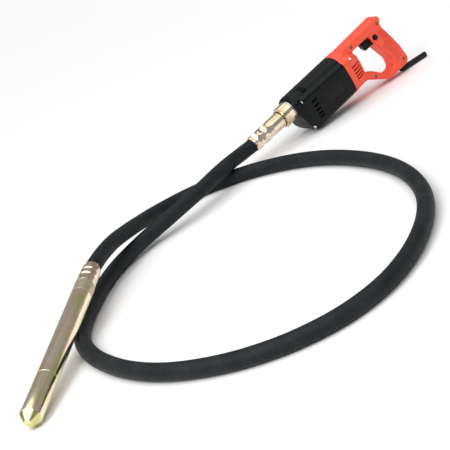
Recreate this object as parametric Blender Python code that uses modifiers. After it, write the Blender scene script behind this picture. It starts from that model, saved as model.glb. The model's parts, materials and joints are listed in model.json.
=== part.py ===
"""Concrete vibrator: a D-handled motor unit that drives a flexible shaft in a hose to a poker head.

Everything is in metres. The floor is z = 0. The motor unit stands on its nose and on the cord sleeve,
so it is modelled along its own axis in tool_frame. The poker head lies on its tip and on the hose, so
it is modelled along its own axis in head_frame. In both frames +X is the turning axis.
"""
import math

import bmesh
import bpy
from mathutils import Matrix, Vector

MM = 0.001
GAP = 0.3 * MM                        # clearance that touching pieces keep

# Where the two halves stand
TOOL_TILT = math.radians(10.0)        # the spindle axis drops towards the nose
TOOL_AT = (0.2631, 0.2112, 0.0623)    # spindle axis at the front face of the housing
HEAD_AT = (-0.6089, -0.2441, 0.0161)  # centre of the flat at the tip of the head
HEAD_TURN = math.radians(44.2)        # heading from the tip to the collar
HEAD_TILT = math.radians(6.9)         # the collar end is raised where the head lies on the hose

# Motor unit
MOTOR_DROP = 24.0 * MM                # motor axis below the spindle axis
BARREL_HALF = 38.0 * MM               # half the width of the motor barrel
WALL = 3.6 * MM
HOUSING_LENGTH = 134.0 * MM
BODY_END = 187.0 * MM                 # rear wall of the orange body
GRIP_THICK = 35.0 * MM
GRIP_EDGE = 5.3 * MM                  # rounding of the grip's long edges
BORE_R = BARREL_HALF - WALL - GAP     # inside of the motor barrel
DOME_START = 149.0 * MM               # where the rear body begins to close in
DOME_CENTRE = -18.0 * MM              # height that it closes in towards
GEAR_MODULE = 1.0 * MM
PINION_TEETH = 8
GEAR_TEETH = 40

# Spigot, nut and ferrule, in front of the housing
SPIGOT_R = 19.4 * MM
NUT_FLATS = 42.5 * MM
NUT_R = 22.2 * MM
NUT_BACK = -3.0 * MM
NUT_FRONT = -29.0 * MM
FERRULE_R = 16.8 * MM
FERRULE_END = -110.5 * MM

# Hose and flexible shaft
HOSE_R = 14.0 * MM
HOSE_WALL = 5.5 * MM
SHAFT_R = 5.0 * MM
HOSE_INSERT = 15.0 * MM               # length of hose inside each fitting

# Poker head, measured from the flat at its tip
HEAD_R = 17.75 * MM
TIP_FLAT_R = 6.9 * MM
CONE_LENGTH = 14.0 * MM
NOSE_END = 107.0 * MM
TUBE_END = 332.0 * MM
COUPLER_END = 362.0 * MM
COLLAR_END = 417.0 * MM

# Colours
BLACK_PLASTIC = (0.013, 0.016, 0.017)
ORANGE_PLASTIC = (0.80, 0.085, 0.040)
RUBBER_BLACK = (0.016, 0.017, 0.018)
ZINC_YELLOW = (0.62, 0.50, 0.27)
STEEL = (0.56, 0.57, 0.58)
IRON = (0.22, 0.22, 0.23)
COPPER = (0.72, 0.36, 0.20)
BRASS = (0.72, 0.55, 0.26)
CARBON = (0.03, 0.03, 0.032)
ALUMINIUM = (0.66, 0.67, 0.68)

# The route of the hose from the ferrule to the collar of the head, on the floor but for two humps:
# one over the hose itself just in front of the ferrule, one up into the raised end of the head.
HOSE_ROUTE = [
    (0.1331, 0.2104, 0.0414), (0.1091, 0.2047, 0.0415), (0.0841, 0.1947, 0.0430),
    (0.0511, 0.1822, 0.0434), (-0.0147, 0.1605, 0.0403), (-0.0872, 0.1563, 0.0313),
    (-0.1598, 0.1569, 0.0207), (-0.2294, 0.1360, 0.0148), (-0.2884, 0.0925, 0.0141),
    (-0.3402, 0.0405, 0.0141), (-0.3875, -0.0157, 0.0141), (-0.4251, -0.0786, 0.0141),
    (-0.4456, -0.1489, 0.0141), (-0.4527, -0.2220, 0.0141), (-0.4491, -0.2953, 0.0141),
    (-0.4332, -0.3669, 0.0141), (-0.4034, -0.4339, 0.0141), (-0.3604, -0.4932, 0.0141),
    (-0.3036, -0.5393, 0.0141), (-0.2352, -0.5652, 0.0141), (-0.1622, -0.5649, 0.0141),
    (-0.0929, -0.5412, 0.0141), (-0.0304, -0.5029, 0.0141), (0.0253, -0.4551, 0.0141),
    (0.0730, -0.3993, 0.0141), (0.1113, -0.3367, 0.0141), (0.1407, -0.2695, 0.0141),
    (0.1608, -0.1989, 0.0141), (0.1717, -0.1263, 0.0141), (0.1742, -0.0529, 0.0141),
    (0.1674, 0.0202, 0.0141), (0.1481, 0.0909, 0.0141), (0.1153, 0.1565, 0.0141),
    (0.0689, 0.2132, 0.0141), (0.0075, 0.2525, 0.0146), (-0.0642, 0.2520, 0.0212),
    (-0.1252, 0.2141, 0.0346), (-0.1782, 0.1656, 0.0497), (-0.2314, 0.1166, 0.0625),
    (-0.2760, 0.0768, 0.0668),
]
HOSE_STATIONS = 50


# ---------------------------------------------------------------- scene and modelling helpers

def clear_scene():
    for obj in list(bpy.data.objects):
        bpy.data.objects.remove(obj, do_unlink=True)


def collection(name):
    made = bpy.data.collections.new(name)
    bpy.context.scene.collection.children.link(made)
    return made


def material(name, colour, roughness, metallic=0.0):
    made = bpy.data.materials.new(name)
    made.use_nodes = True
    shader = made.node_tree.nodes["Principled BSDF"]
    shader.inputs["Base Color"].default_value = (*colour, 1.0)
    shader.inputs["Roughness"].default_value = roughness
    shader.inputs["Metallic"].default_value = metallic
    return made


def make_materials():
    return {
        "black": material("black_plastic", BLACK_PLASTIC, 0.5),
        "orange": material("orange_plastic", ORANGE_PLASTIC, 0.42),
        "rubber": material("black_rubber", RUBBER_BLACK, 0.7),
        "zinc": material("yellow_zinc", ZINC_YELLOW, 0.28, 1.0),
        "steel": material("bright_steel", STEEL, 0.3, 1.0),
        "iron": material("laminated_iron", IRON, 0.5, 1.0),
        "copper": material("copper", COPPER, 0.35, 1.0),
        "brass": material("brass", BRASS, 0.35, 1.0),
        "carbon": material("carbon", CARBON, 0.8),
        "aluminium": material("aluminium", ALUMINIUM, 0.4, 1.0),
    }


def frame_empty(name, location, rotation):
    empty = bpy.data.objects.new(name, None)
    empty.location = location
    empty.rotation_euler = rotation
    PARTS.objects.link(empty)
    return empty


def place(obj, parent, look, at=(0, 0, 0), turn=(0, 0, 0)):
    """Adds a real piece to the model, in the given frame."""
    obj.parent = parent
    obj.location = at
    obj.rotation_euler = turn
    if look:
        obj.data.materials.append(LOOKS[look])
    PARTS.objects.link(obj)
    return obj


def as_cutter(obj):
    """Keeps a shape only as a tool for Booleans."""
    for group in list(obj.users_collection):
        group.objects.unlink(obj)
    CUTTERS.objects.link(obj)
    obj.display_type = "WIRE"
    obj.hide_render = True
    return obj


def boolean(obj, other, operation):
    modifier = obj.modifiers.new(operation.lower(), "BOOLEAN")
    modifier.operation = operation
    modifier.object = other
    modifier.solver = "EXACT"
    return obj


def cut(obj, *cutters):
    for cutter in cutters:
        boolean(obj, as_cutter(cutter), "DIFFERENCE")
    return obj


def join(obj, *others):
    for other in others:
        boolean(obj, as_cutter(other), "UNION")
    return obj


def keep_inside(obj, *others):
    for other in others:
        boolean(obj, as_cutter(other), "INTERSECT")
    return obj


ALONG_X = (0, math.pi / 2, 0)         # turns a shape made along Z so that it runs along +X
SIDE_VIEW = (math.pi / 2, 0, 0)       # an outline's x, y become x, z
CROSS_SECTION = (math.pi / 2, 0, math.pi / 2)   # an outline's x, y become y, z


def turned(name, profile, parent, look, at=(0, 0, 0), turn=ALONG_X, steps=24):
    """A turned piece. The profile's (radius, height) points run down the outside, top to bottom, and
    then, on a hollow piece, up the inside. Height becomes the frame's +X."""
    mesh = bpy.data.meshes.new(name)
    points = [(radius, 0, height) for radius, height in profile]
    edges = [(i, i + 1) for i in range(len(points) - 1)]
    if profile[0][0] > 0:
        edges.append((len(points) - 1, 0))
    mesh.from_pydata(points, edges, [])
    obj = bpy.data.objects.new(name, mesh)
    place(obj, parent, look, at, turn)
    screw = obj.modifiers.new("turn", "SCREW")
    screw.steps = steps
    screw.render_steps = steps
    screw.use_merge_vertices = True
    screw.merge_threshold = 0.00001
    screw.use_smooth_shade = True
    return obj


def rod(name, radius, low, high, parent, look, at=(0, 0, 0), turn=ALONG_X, steps=20):
    return turned(name, [(0, high), (radius, high), (radius, low), (0, low)], parent, look, at, turn, steps)


def ring(name, outer, inner, low, high, parent, look, at=(0, 0, 0), turn=ALONG_X, steps=24):
    profile = [(outer, high), (outer, low), (inner, low), (inner, high)]
    return turned(name, profile, parent, look, at, turn, steps)


def block(name, low, high, parent, look, turn=(0, 0, 0), bevel=0.0):
    """A box between two corners, with rounded edges where bevel is given."""
    mesh = bpy.data.meshes.new(name)
    size = [high[i] - low[i] for i in range(3)]
    centre = [(high[i] + low[i]) / 2 for i in range(3)]
    shape = bmesh.new()
    bmesh.ops.create_cube(shape, size=1.0, matrix=Matrix.Diagonal((*size, 1.0)))
    shape.to_mesh(mesh)
    shape.free()
    obj = place(bpy.data.objects.new(name, mesh), parent, look, centre, turn)
    if bevel:
        soften(obj, bevel, 2)
    return obj


def soften(obj, width, segments, degrees=40):
    modifier = obj.modifiers.new("soft_edges", "BEVEL")
    modifier.width = width
    modifier.segments = segments
    modifier.limit_method = "ANGLE"
    modifier.angle_limit = math.radians(degrees)
    return modifier


def welded(curve_object, name):
    """The mesh of a curve object, with its caps welded on."""
    bpy.context.scene.collection.objects.link(curve_object)
    bpy.context.view_layer.update()
    depsgraph = bpy.context.evaluated_depsgraph_get()
    mesh = bpy.data.meshes.new_from_object(curve_object.evaluated_get(depsgraph))
    mesh.name = name
    curve_object.name = name + "_curve"
    bpy.data.objects.remove(curve_object, do_unlink=True)
    shape = bmesh.new()
    shape.from_mesh(mesh)
    bmesh.ops.remove_doubles(shape, verts=shape.verts, dist=0.000001)
    shape.to_mesh(mesh)
    shape.free()
    return bpy.data.objects.new(name, mesh)


def plate(name, outline, thickness, parent, look, at=(0, 0, 0), turn=SIDE_VIEW, window=None, edge=0.0):
    """A flat outline of (x, y) points, extruded by thickness about its middle. It may have a window in
    it, and its edges are rounded where edge is given."""
    curve = bpy.data.curves.new(name, "CURVE")
    curve.dimensions = "2D"
    curve.fill_mode = "BOTH"
    curve.extrude = thickness / 2 - edge
    curve.bevel_depth = edge
    curve.bevel_resolution = 1
    loops = [shrunk(outline, edge)]
    if window:
        loops.append(shrunk(window, -edge))
    for loop in loops:
        spline = curve.splines.new("POLY")
        spline.points.add(len(loop) - 1)
        for point, (x, y) in zip(spline.points, loop):
            point.co = (x, y, 0, 1)
        spline.use_cyclic_u = True
    return place(welded(bpy.data.objects.new(name, curve), name), parent, look, at, turn)


def tube(name, points, radius, resolution, parent, look, capped=True):
    curve = bpy.data.curves.new(name, "CURVE")
    curve.dimensions = "3D"
    curve.bevel_depth = radius
    curve.bevel_resolution = resolution
    curve.use_fill_caps = capped
    spline = curve.splines.new("POLY")
    spline.points.add(len(points) - 1)
    for point, where in zip(spline.points, points):
        point.co = (*where, 1)
    obj = bpy.data.objects.new(name, curve)
    return place(obj, parent, look)


def arc(centre, radius, start, end, steps):
    """Points on an arc, in degrees, both ends included."""
    angles = [math.radians(start + (end - start) * i / steps) for i in range(steps + 1)]
    return [(centre[0] + radius * math.cos(a), centre[1] + radius * math.sin(a)) for a in angles]


def rounded(corners, steps=3):
    """An outline whose corners, each (x, y, radius) in millimetres, are rounded by arcs."""
    points = []
    for i, (x, y, radius) in enumerate(corners):
        here = Vector((x, y)) * MM
        before = (Vector(corners[i - 1][:2]) * MM - here).normalized()
        after = (Vector(corners[(i + 1) % len(corners)][:2]) * MM - here).normalized()
        if radius == 0:
            points.append(tuple(here))
            continue
        half = before.angle(after) / 2
        reach = radius * MM / math.tan(half)
        centre = here + (before + after).normalized() * (radius * MM / math.sin(half))
        first = here + before * reach - centre
        last = here + after * reach - centre
        turn = first.angle_signed(last)
        for step in range(steps + 1):
            spoke = first.copy()
            spoke.rotate(Matrix.Rotation(-turn * step / steps, 2))
            points.append(tuple(centre + spoke))
    return points


def loft(name, rings, parent, look):
    """A closed skin over rings of points, all with the same count, with flat ends."""
    mesh = bpy.data.meshes.new(name)
    shape = bmesh.new()
    rows = [[shape.verts.new(point) for point in ring] for ring in rings]
    for one, two in zip(rows, rows[1:]):
        for i in range(len(one)):
            j = (i + 1) % len(one)
            shape.faces.new((one[i], one[j], two[j], two[i]))
    shape.faces.new(rows[0])
    shape.faces.new(rows[-1])
    bmesh.ops.recalc_face_normals(shape, faces=shape.faces)
    shape.to_mesh(mesh)
    shape.free()
    return place(bpy.data.objects.new(name, mesh), parent, look)


def shrunk(outline, distance):
    """The same closed outline, moved inwards by distance, or outwards where it is negative."""
    count = len(outline)
    area = sum(outline[i - 1][0] * outline[i][1] - outline[i][0] * outline[i - 1][1] for i in range(count))
    side = 1 if area > 0 else -1
    moved = []
    for i, point in enumerate(outline):
        here = Vector(point)
        before = (here - Vector(outline[i - 1])).normalized()
        after = (Vector(outline[(i + 1) % count]) - here).normalized()
        inward = (Vector((-before.y, before.x)) + Vector((-after.y, after.x))).normalized() * side
        cosine = max(inward.dot(Vector((-after.y, after.x)) * side), 0.5)
        moved.append(tuple(here + inward * distance / cosine))
    return moved


def smooth_path(points, count):
    """Evenly spaced points on a centripetal Catmull-Rom curve through the given points."""
    nodes = [Vector(p) for p in points]
    nodes = [nodes[0] * 2 - nodes[1]] + nodes + [nodes[-1] * 2 - nodes[-2]]
    dense = []
    for i in range(1, len(nodes) - 2):
        a, b, c, d = nodes[i - 1:i + 3]
        ab, bc, cd = ((b - a).length ** 0.5, (c - b).length ** 0.5, (d - c).length ** 0.5)
        leave = c - b + bc * ((b - a) / ab - (c - a) / (ab + bc))
        arrive = c - b + bc * ((d - c) / cd - (d - b) / (bc + cd))
        for step in range(24):
            t = step / 24
            dense.append((2 * t**3 - 3 * t**2 + 1) * b + (t**3 - 2 * t**2 + t) * leave
                         + (3 * t**2 - 2 * t**3) * c + (t**3 - t**2) * arrive)
    dense.append(nodes[-2])
    spans = [(dense[i + 1] - dense[i]).length for i in range(len(dense) - 1)]
    total = sum(spans)
    path = [dense[0]]
    walked = 0.0
    wanted = 1
    for i, span in enumerate(spans):
        while wanted < count - 1 and walked + span >= total * wanted / (count - 1):
            share = (total * wanted / (count - 1) - walked) / span
            path.append(dense[i].lerp(dense[i + 1], share))
            wanted += 1
        walked += span
    path.append(dense[-1])
    return path


# ---------------------------------------------------------------- outlines of the motor unit

# Half of the cross-section, bottom to top: y, z, and how much of the shoulder's rise a point takes.
SECTION = [
    (0, -69.6, 0), (6, -68.2, 0), (14, -63.7, 0), (22, -59.8, 0), (28, -57.0, 0), (31.8, -54.3, 0),
    (33.6, -48.7, 0), (36.2, -36.2, 0), (37.6, -24, 0), (38, -12, 0), (37.9, -1.7, 0.5), (37.5, 4.5, 1),
    (36.1, 8.1, 1), (33, 10.4, 1), (29.4, 12.3, 1), (27, 15, 0.35), (25.4, 17.8, 0), (22.6, 20.8, 0),
    (17.9, 23.6, 0), (12.5, 25.7, 0), (8, 26.9, 0), (0, 26.9, 0)]
SHOULDER_RISE = 3.0                   # the shoulders climb by this much towards the nose


def section_ring(x, rise=0.0, scale=1.0, pinch=1.0):
    """The cross-section at a station: a flat-sided barrel with a keel and a crowned spine on top. The
    lower half is narrowed by pinch."""
    half = []
    for y, z, share in SECTION:
        low = min(max((-5 - z) / 30, 0.0), 1.0)
        width = scale * (1 - low * (1 - pinch))
        half.append((y * MM * width, (z + rise * share) * MM * scale + DOME_CENTRE * (1 - scale)))
    return [(x, y, z) for y, z in half] + [(x, -y, z) for y, z in reversed(half[1:-1])]


def side_outline():
    """The housing from the side: a flat nose with a round on top, and a chin that slopes back below."""
    end = HOUSING_LENGTH / MM + 1
    return rounded([(0, 27.3, 14), (end, 27.3, 0), (end, -68.8, 0), (26, -68.8, 20), (14.5, -58.5, 25),
                    (5, -44, 30), (0, -22, 40)], 4)


def handle_outline():
    """The handle and the rear body from the side, in millimetres behind the nose."""
    return rounded([
        (136, 24.1, 0), (281.5, 27.8, 7.5), (269.8, 8, 6), (270.5, -1, 15),
        (277.9, -26, 60), (285, -56, 60), (287.6, -96.2, 13), (224, -96.2, 10), (177.5, -63.2, 14),
        (136, -62, 0)])


def window_outline():
    """The finger window between the body and the grip."""
    return rounded([(180, 5, 5), (231, 5, 6), (236, -20, 30), (251, -62, 12), (249, -84, 11),
                    (226, -84, 10), (198, -56, 14), (180, -45, 6)])


# ---------------------------------------------------------------- pieces of the motor unit

def slot_cutters(name, slots, parent):
    """One cutter with a box for each slot: (centre, size, turn about X)."""
    mesh = bpy.data.meshes.new(name)
    shape = bmesh.new()
    for centre, size, turn in slots:
        matrix = Matrix.Translation(centre) @ Matrix.Rotation(turn, 4, "X") @ Matrix.Diagonal((*size, 1))
        bmesh.ops.create_cube(shape, size=1.0, matrix=matrix)
    shape.to_mesh(mesh)
    shape.free()
    return place(bpy.data.objects.new(name, mesh), parent, None)


def barrel_slots(name, low, high, depth, heights, parent):
    """Slots through both sides of the barrel, from x = low to x = high, at the given heights."""
    middle = (BARREL_HALF + 4 * MM - depth / 2)
    slots = []
    for side in (-1, 1):
        for z in heights:
            centre = ((low + high) / 2 * MM, side * middle, z * MM)
            slots.append((centre, ((high - low) * MM, depth, 3 * MM), 0))
    return slot_cutters(name, slots, parent)


def nose_screw_places():
    """The seats of the four nose screws: two in the shoulders beside the spindle and two below it."""
    upper = [(14.0 * MM, side * 33.5 * MM, 7.7 * MM) for side in (-1, 1)]
    lower = [(11.5 * MM, side * 30.0 * MM, -50.6 * MM) for side in (-1, 1)]
    return upper + lower


def make_motor_housing():
    rings = [section_ring(x * MM, SHOULDER_RISE, pinch=pinch)
             for x, pinch in ((-1, 0.70), (4, 0.82), (9, 0.91), (15, 0.97), (23, 1.0), (40, 1.0))]
    rings.append(section_ring(HOUSING_LENGTH))
    housing = loft("motor_housing", rings, TOOL, "black")
    side = plate("nose_side_shape", side_outline(), 100 * MM, TOOL, None)
    plan = rounded([(-0.5, -38.4, 16), (140, -38.6, 0), (140, 38.6, 0), (-0.5, 38.4, 16)])
    top = plate("nose_plan_shape", plan, 220 * MM, TOOL, None, turn=(0, 0, 0))
    keep_inside(housing, side, top)
    motor_axis = (0, 0, -MOTOR_DROP)
    bore = rod("motor_bore", BORE_R, 18.3 * MM, HOUSING_LENGTH + MM, TOOL, None, motor_axis, steps=28)
    gear_room = rod("gear_room", 22 * MM, 4.8 * MM, 19 * MM, TOOL, None, steps=24)
    pinion_room = rod("pinion_room", 8 * MM, 4.2 * MM, 19 * MM, TOOL, None, motor_axis, steps=16)
    mouth = rod("spigot_hole", 15.8 * MM, -MM, 6 * MM, TOOL, None, steps=24)
    low = (29 * MM, -17 * MM, 4 * MM)
    high = (HOUSING_LENGTH + MM, 17 * MM, 20 * MM)
    cut(housing, bore, gear_room, pinion_room, mouth, block("wiring_room", low, high, TOOL, None))
    vents = barrel_slots("nose_vents", 31, 41, 17 * MM, (-5.3, -15.8, -25.6, -34.6, -42), TOOL)
    top_slots = [((36.5 * MM, y * MM, 24 * MM), (10.5 * MM, 2.2 * MM, 12 * MM), 0)
                 for y in (-17.3, -10.8, 10.8, 17.3)]
    top_slots += [((36.5 * MM, y * MM, 18.7 * MM), (10.5 * MM, 14 * MM, 4.6 * MM), 0) for y in (-27, 27)]
    cut(housing, vents, slot_cutters("spine_vents", top_slots, TOOL))
    for number, (seat, y, z) in enumerate(nose_screw_places(), 1):
        pocket = rod(f"nose_pocket_{number}", 4.3 * MM, -MM, seat, TOOL, None, (0, y, z), steps=12)
        hole = rod(f"nose_hole_{number}", 1.9 * MM, seat - MM, seat + 6.5 * MM, TOOL, None, (0, y, z),
                   steps=8)
        cut(housing, pocket, hole)
        if number < 3:
            ends = sorted((math.copysign(28.7 * MM, y), math.copysign(44 * MM, y)))
            low = (6 * MM, ends[0], z + 0.9 * MM)
            high = (seat - 0.4 * MM, ends[1], 24 * MM)
            cut(housing, block(f"nose_recess_{number}", low, high, TOOL, None))
    return housing


def make_nose_screws():
    for number, (seat, y, z) in enumerate(nose_screw_places(), 1):
        top = seat - GAP
        profile = [(0, top + 6 * MM), (1.6 * MM, top + 6 * MM), (1.6 * MM, top), (3.3 * MM, top),
                   (3.3 * MM, top - 2.1 * MM), (2.6 * MM, top - 3.1 * MM), (0, top - 3.1 * MM)]
        turned(f"nose_screw_{number}", profile, TOOL, "steel", (0, y, z), steps=12)


def make_spigot():
    """The threaded spigot that the nut screws onto, with the washer behind it."""
    profile = [(15.5 * MM, 4.5 * MM), (15.5 * MM, -2.9 * MM), (SPIGOT_R, -3 * MM), (SPIGOT_R, -19 * MM),
               (18.6 * MM, -20 * MM), (14.3 * MM, -20 * MM), (14.3 * MM, -5.7 * MM), (11.5 * MM, -5.7 * MM),
               (11.5 * MM, 4.5 * MM)]
    turned("threaded_spigot", profile, TOOL, "steel", steps=24)
    ring("nose_washer", 20.9 * MM, 15.9 * MM, -2.6 * MM, -0.3 * MM, TOOL, "steel", steps=32)


def make_coupling_nut():
    """A round nut with six shallow flats and a lip in front that holds the ferrule."""
    profile = [(NUT_R - MM, NUT_BACK), (NUT_R, NUT_BACK - MM), (NUT_R, NUT_FRONT + 2 * MM),
               (NUT_R - 1.6 * MM, NUT_FRONT), (18.4 * MM, NUT_FRONT), (18.4 * MM, NUT_FRONT + 3.4 * MM),
               (19.9 * MM, NUT_FRONT + 3.4 * MM), (19.9 * MM, NUT_BACK)]
    nut = turned("coupling_nut", profile, TOOL, "zinc", steps=30)
    corner = NUT_FLATS / math.sqrt(3)
    hexagon = [(corner * math.cos(i * math.pi / 3), corner * math.sin(i * math.pi / 3)) for i in range(6)]
    flats = plate("nut_flats", hexagon, 40 * MM, TOOL, None, (-16 * MM, 0, 0), CROSS_SECTION)
    return keep_inside(nut, flats)


def make_ferrule():
    """The crimped sleeve on the end of the hose, with the flange that the nut pulls in."""
    waists = [(-66.5, 15.3), (-79.0, 16.6), (-90.0, 15.3), (-101.0, 16.6)]
    outside = [(19.4 * MM, -20.4 * MM), (19.4 * MM, -25.2 * MM), (FERRULE_R, -25.3 * MM),
               (FERRULE_R, -61 * MM)]
    outside += [(radius * MM, x * MM) for x, radius in waists]
    outside += [(15.6 * MM, FERRULE_END + MM), (15.2 * MM, FERRULE_END)]
    seat = FERRULE_END + HOSE_INSERT + GAP
    inside = [(HOSE_R + GAP, FERRULE_END), (HOSE_R + GAP, seat), (8 * MM, seat), (8 * MM, -20.4 * MM)]
    turned("hose_ferrule", outside + inside, TOOL, "zinc", steps=24)


def involute_outline(teeth, shift, backlash):
    """A spur gear's outline, with one tooth centred on +X."""
    pressure = math.radians(20)
    pitch = GEAR_MODULE * teeth / 2
    base = pitch * math.cos(pressure)
    tip = pitch + GEAR_MODULE * (0.95 + shift)
    root = pitch - GEAR_MODULE * (1.25 - shift)
    involute = math.tan(pressure) - pressure
    half = (math.pi / 2 + 2 * shift * math.tan(pressure)) / teeth - backlash / (2 * pitch)
    flank = []
    for step in range(3):
        radius = max(base, root) + (tip - max(base, root)) * step / 2
        angle = math.acos(min(1.0, base / radius))
        flank.append((radius, half + involute - (math.tan(angle) - angle)))
    if root < base:
        flank.insert(0, (root, flank[0][1]))
    points = []
    for tooth in range(teeth):
        middle = 2 * math.pi * tooth / teeth
        rising = [(radius, middle - offset) for radius, offset in flank]
        falling = [(radius, middle + offset) for radius, offset in reversed(flank)]
        points += [(r * math.cos(a), r * math.sin(a)) for r, a in rising + falling]
    return points


def turned_outline(outline, angle):
    cosine, sine = math.cos(angle), math.sin(angle)
    return [(x * cosine - y * sine, x * sine + y * cosine) for x, y in outline]


def make_gears():
    """The 8 to 40 reduction: a tooth of the pinion points up into a gap of the wheel."""
    half_pitch = 180 / GEAR_TEETH
    wheel = turned_outline(involute_outline(GEAR_TEETH, -0.5, 0.12 * MM), math.radians(-90 + half_pitch))
    gear = plate("driven_gear", wheel, 10 * MM, TOOL, "iron", (11.5 * MM, 0, 0), CROSS_SECTION)
    cut(gear, rod("gear_bore", 6.2 * MM, 0, 20 * MM, TOOL, None, steps=16))
    pinion = turned_outline(involute_outline(PINION_TEETH, 0.5, 0.12 * MM), math.radians(90))
    small = plate("pinion_gear", pinion, 12 * MM, TOOL, "steel", (11.5 * MM, 0, -MOTOR_DROP), CROSS_SECTION)
    cut(small, rod("pinion_bore", 2.6 * MM, 0, 20 * MM, TOOL, None, (0, 0, -MOTOR_DROP), steps=12))


def make_spindle():
    profile = [(0, 27 * MM), (4.0 * MM, 27 * MM), (4.0 * MM, 18 * MM), (6 * MM, 17.6 * MM), (6 * MM, -4 * MM),
               (5.9 * MM, -15.5 * MM), (8.5 * MM, -15.6 * MM), (8.5 * MM, -20 * MM), (5.6 * MM, -20 * MM),
               (5.6 * MM, -15 * MM), (0, -15 * MM)]
    turned("output_spindle", profile, TOOL, "steel", steps=16)
    ring("spindle_front_bearing", 14 * MM, 6.3 * MM, -14.5 * MM, -6 * MM, TOOL, "steel")
    ring("spindle_rear_bearing", 8.5 * MM, 4.3 * MM, 19.6 * MM, 26.4 * MM, TOOL, "steel", steps=16)
    rod("drive_tip", 5.2 * MM, -36 * MM, -15.4 * MM, TOOL, "steel", steps=6)


def make_bearing_plate():
    axis = (0, 0, -MOTOR_DROP)
    disc = rod("bearing_plate", BORE_R - GAP, 18.7 * MM, 27 * MM, TOOL, "aluminium", axis, steps=28)
    spindle_seat = rod("spindle_seat", 8.8 * MM, 18 * MM, 28 * MM, TOOL, None)
    armature_seat = rod("armature_seat", 12.8 * MM, 18 * MM, 28 * MM, TOOL, None, axis)
    cut(disc, spindle_seat, armature_seat)


def slotted_outline(radius, slots, depth, width):
    """A round lamination with straight slots from its rim."""
    points = []
    for slot in range(slots):
        middle = 2 * math.pi * slot / slots
        pitch = math.pi / slots
        lip = width / 2 / radius
        inner = width / 2 / (radius - depth)
        points += [(radius, middle - pitch), (radius, middle - pitch / 2 - lip / 2), (radius, middle - lip),
                   (radius - depth, middle - inner), (radius - depth, middle + inner),
                   (radius, middle + lip), (radius, middle + pitch / 2 + lip / 2)]
    return [(r * math.cos(a), r * math.sin(a)) for r, a in points]


def make_armature():
    axis = (0, 0, -MOTOR_DROP)
    profile = [(0, 133 * MM), (3.8 * MM, 133 * MM), (3.8 * MM, 124 * MM), (5 * MM, 123.8 * MM),
               (5 * MM, 18 * MM), (2.4 * MM, 17.9 * MM), (2.4 * MM, 5 * MM), (0, 5 * MM)]
    turned("armature_shaft", profile, TOOL, "steel", axis, steps=12)
    core = plate("armature_core", slotted_outline(23 * MM, 12, 7 * MM, 3 * MM), 46 * MM, TOOL, "iron",
                 (73 * MM, 0, -MOTOR_DROP), CROSS_SECTION)
    cut(core, rod("core_bore", 5.3 * MM, 40 * MM, 110 * MM, TOOL, None, axis, steps=12))
    ring("commutator", 12 * MM, 5.3 * MM, 103 * MM, 119 * MM, TOOL, "copper", axis, steps=20)
    ring("armature_front_bearing", 12.5 * MM, 5.3 * MM, 19.6 * MM, 26.4 * MM, TOOL, "steel", axis, steps=20)
    ring("armature_rear_bearing", 11 * MM, 4.1 * MM, 125 * MM, 131.6 * MM, TOOL, "steel", axis, steps=20)


def make_fan():
    axis = (0, 0, -MOTOR_DROP)
    blades = 11
    points = []
    for blade in range(blades):
        middle = 2 * math.pi * blade / blades
        for radius, offset in ((12, -0.20), (32, -0.035), (32, 0.035), (12, 0.11)):
            a = middle + offset
            points.append((radius * MM * math.cos(a), radius * MM * math.sin(a)))
    fan = plate("cooling_fan", points, 11 * MM, TOOL, "black", (35.5 * MM, 0, -MOTOR_DROP), CROSS_SECTION)
    join(fan, rod("fan_disc", 32.6 * MM, 40 * MM, 42.5 * MM, TOOL, None, axis, steps=28))
    cut(fan, rod("fan_bore", 5.3 * MM, 25 * MM, 45 * MM, TOOL, None, axis, steps=12))


def make_stator():
    axis = (0, 0, -MOTOR_DROP)
    ring("stator_core", BORE_R - GAP, 24.2 * MM, 50 * MM, 96 * MM, TOOL, "iron", axis, steps=28)
    ring("field_coil_front", 32 * MM, 25.5 * MM, 44.5 * MM, 49.6 * MM, TOOL, "copper", axis, steps=20)
    ring("field_coil_rear", 32 * MM, 25.5 * MM, 96.4 * MM, 101.5 * MM, TOOL, "copper", axis, steps=20)


def make_brush_gear():
    axis = (0, 0, -MOTOR_DROP)
    ring("end_bracket", BORE_R - GAP, 11.3 * MM, 124 * MM, 132 * MM, TOOL, "black", axis, steps=28)
    for name, side in (("left", -1), ("right", 1)):
        ends = sorted((side * 13.5 * MM, side * 32 * MM))
        low = (105.5 * MM, ends[0], -MOTOR_DROP - 5.5 * MM)
        high = (116.5 * MM, ends[1], -MOTOR_DROP + 5.5 * MM)
        holder = block(f"brush_holder_{name}", low, high, TOOL, "brass")
        through = sorted((side * 12 * MM, side * 34 * MM))
        low = (107 * MM, through[0], -MOTOR_DROP - 3.8 * MM)
        high = (115 * MM, through[1], -MOTOR_DROP + 3.8 * MM)
        cut(holder, block(f"brush_slot_{name}", low, high, TOOL, None))
        ends = sorted((side * 12.5 * MM, side * 27 * MM))
        low = (107.3 * MM, ends[0], -MOTOR_DROP - 3.5 * MM)
        high = (114.7 * MM, ends[1], -MOTOR_DROP + 3.5 * MM)
        block(f"carbon_brush_{name}", low, high, TOOL, "carbon")


# ---------------------------------------------------------------- pieces of the handle

HANDLE_SCREWS = [(263, 14.5), (183, 14.5), (275, -83), (197, -69), (156, 6)]
TRIGGER_MIDDLE = -7.5 * MM            # height of the trigger's centre
TRIGGER_HALF = (8.0 * MM, 9.0 * MM)   # half its width and half its height
LOCK_AT = (242.0 * MM, -4.5 * MM)
RELIEF_AT = (266.0 * MM, -96.8 * MM)


def handle_screw_side(number):
    """How far the left outside face is from the middle at a screw."""
    return 36.5 * MM if number == 5 else GRIP_THICK / 2


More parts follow.
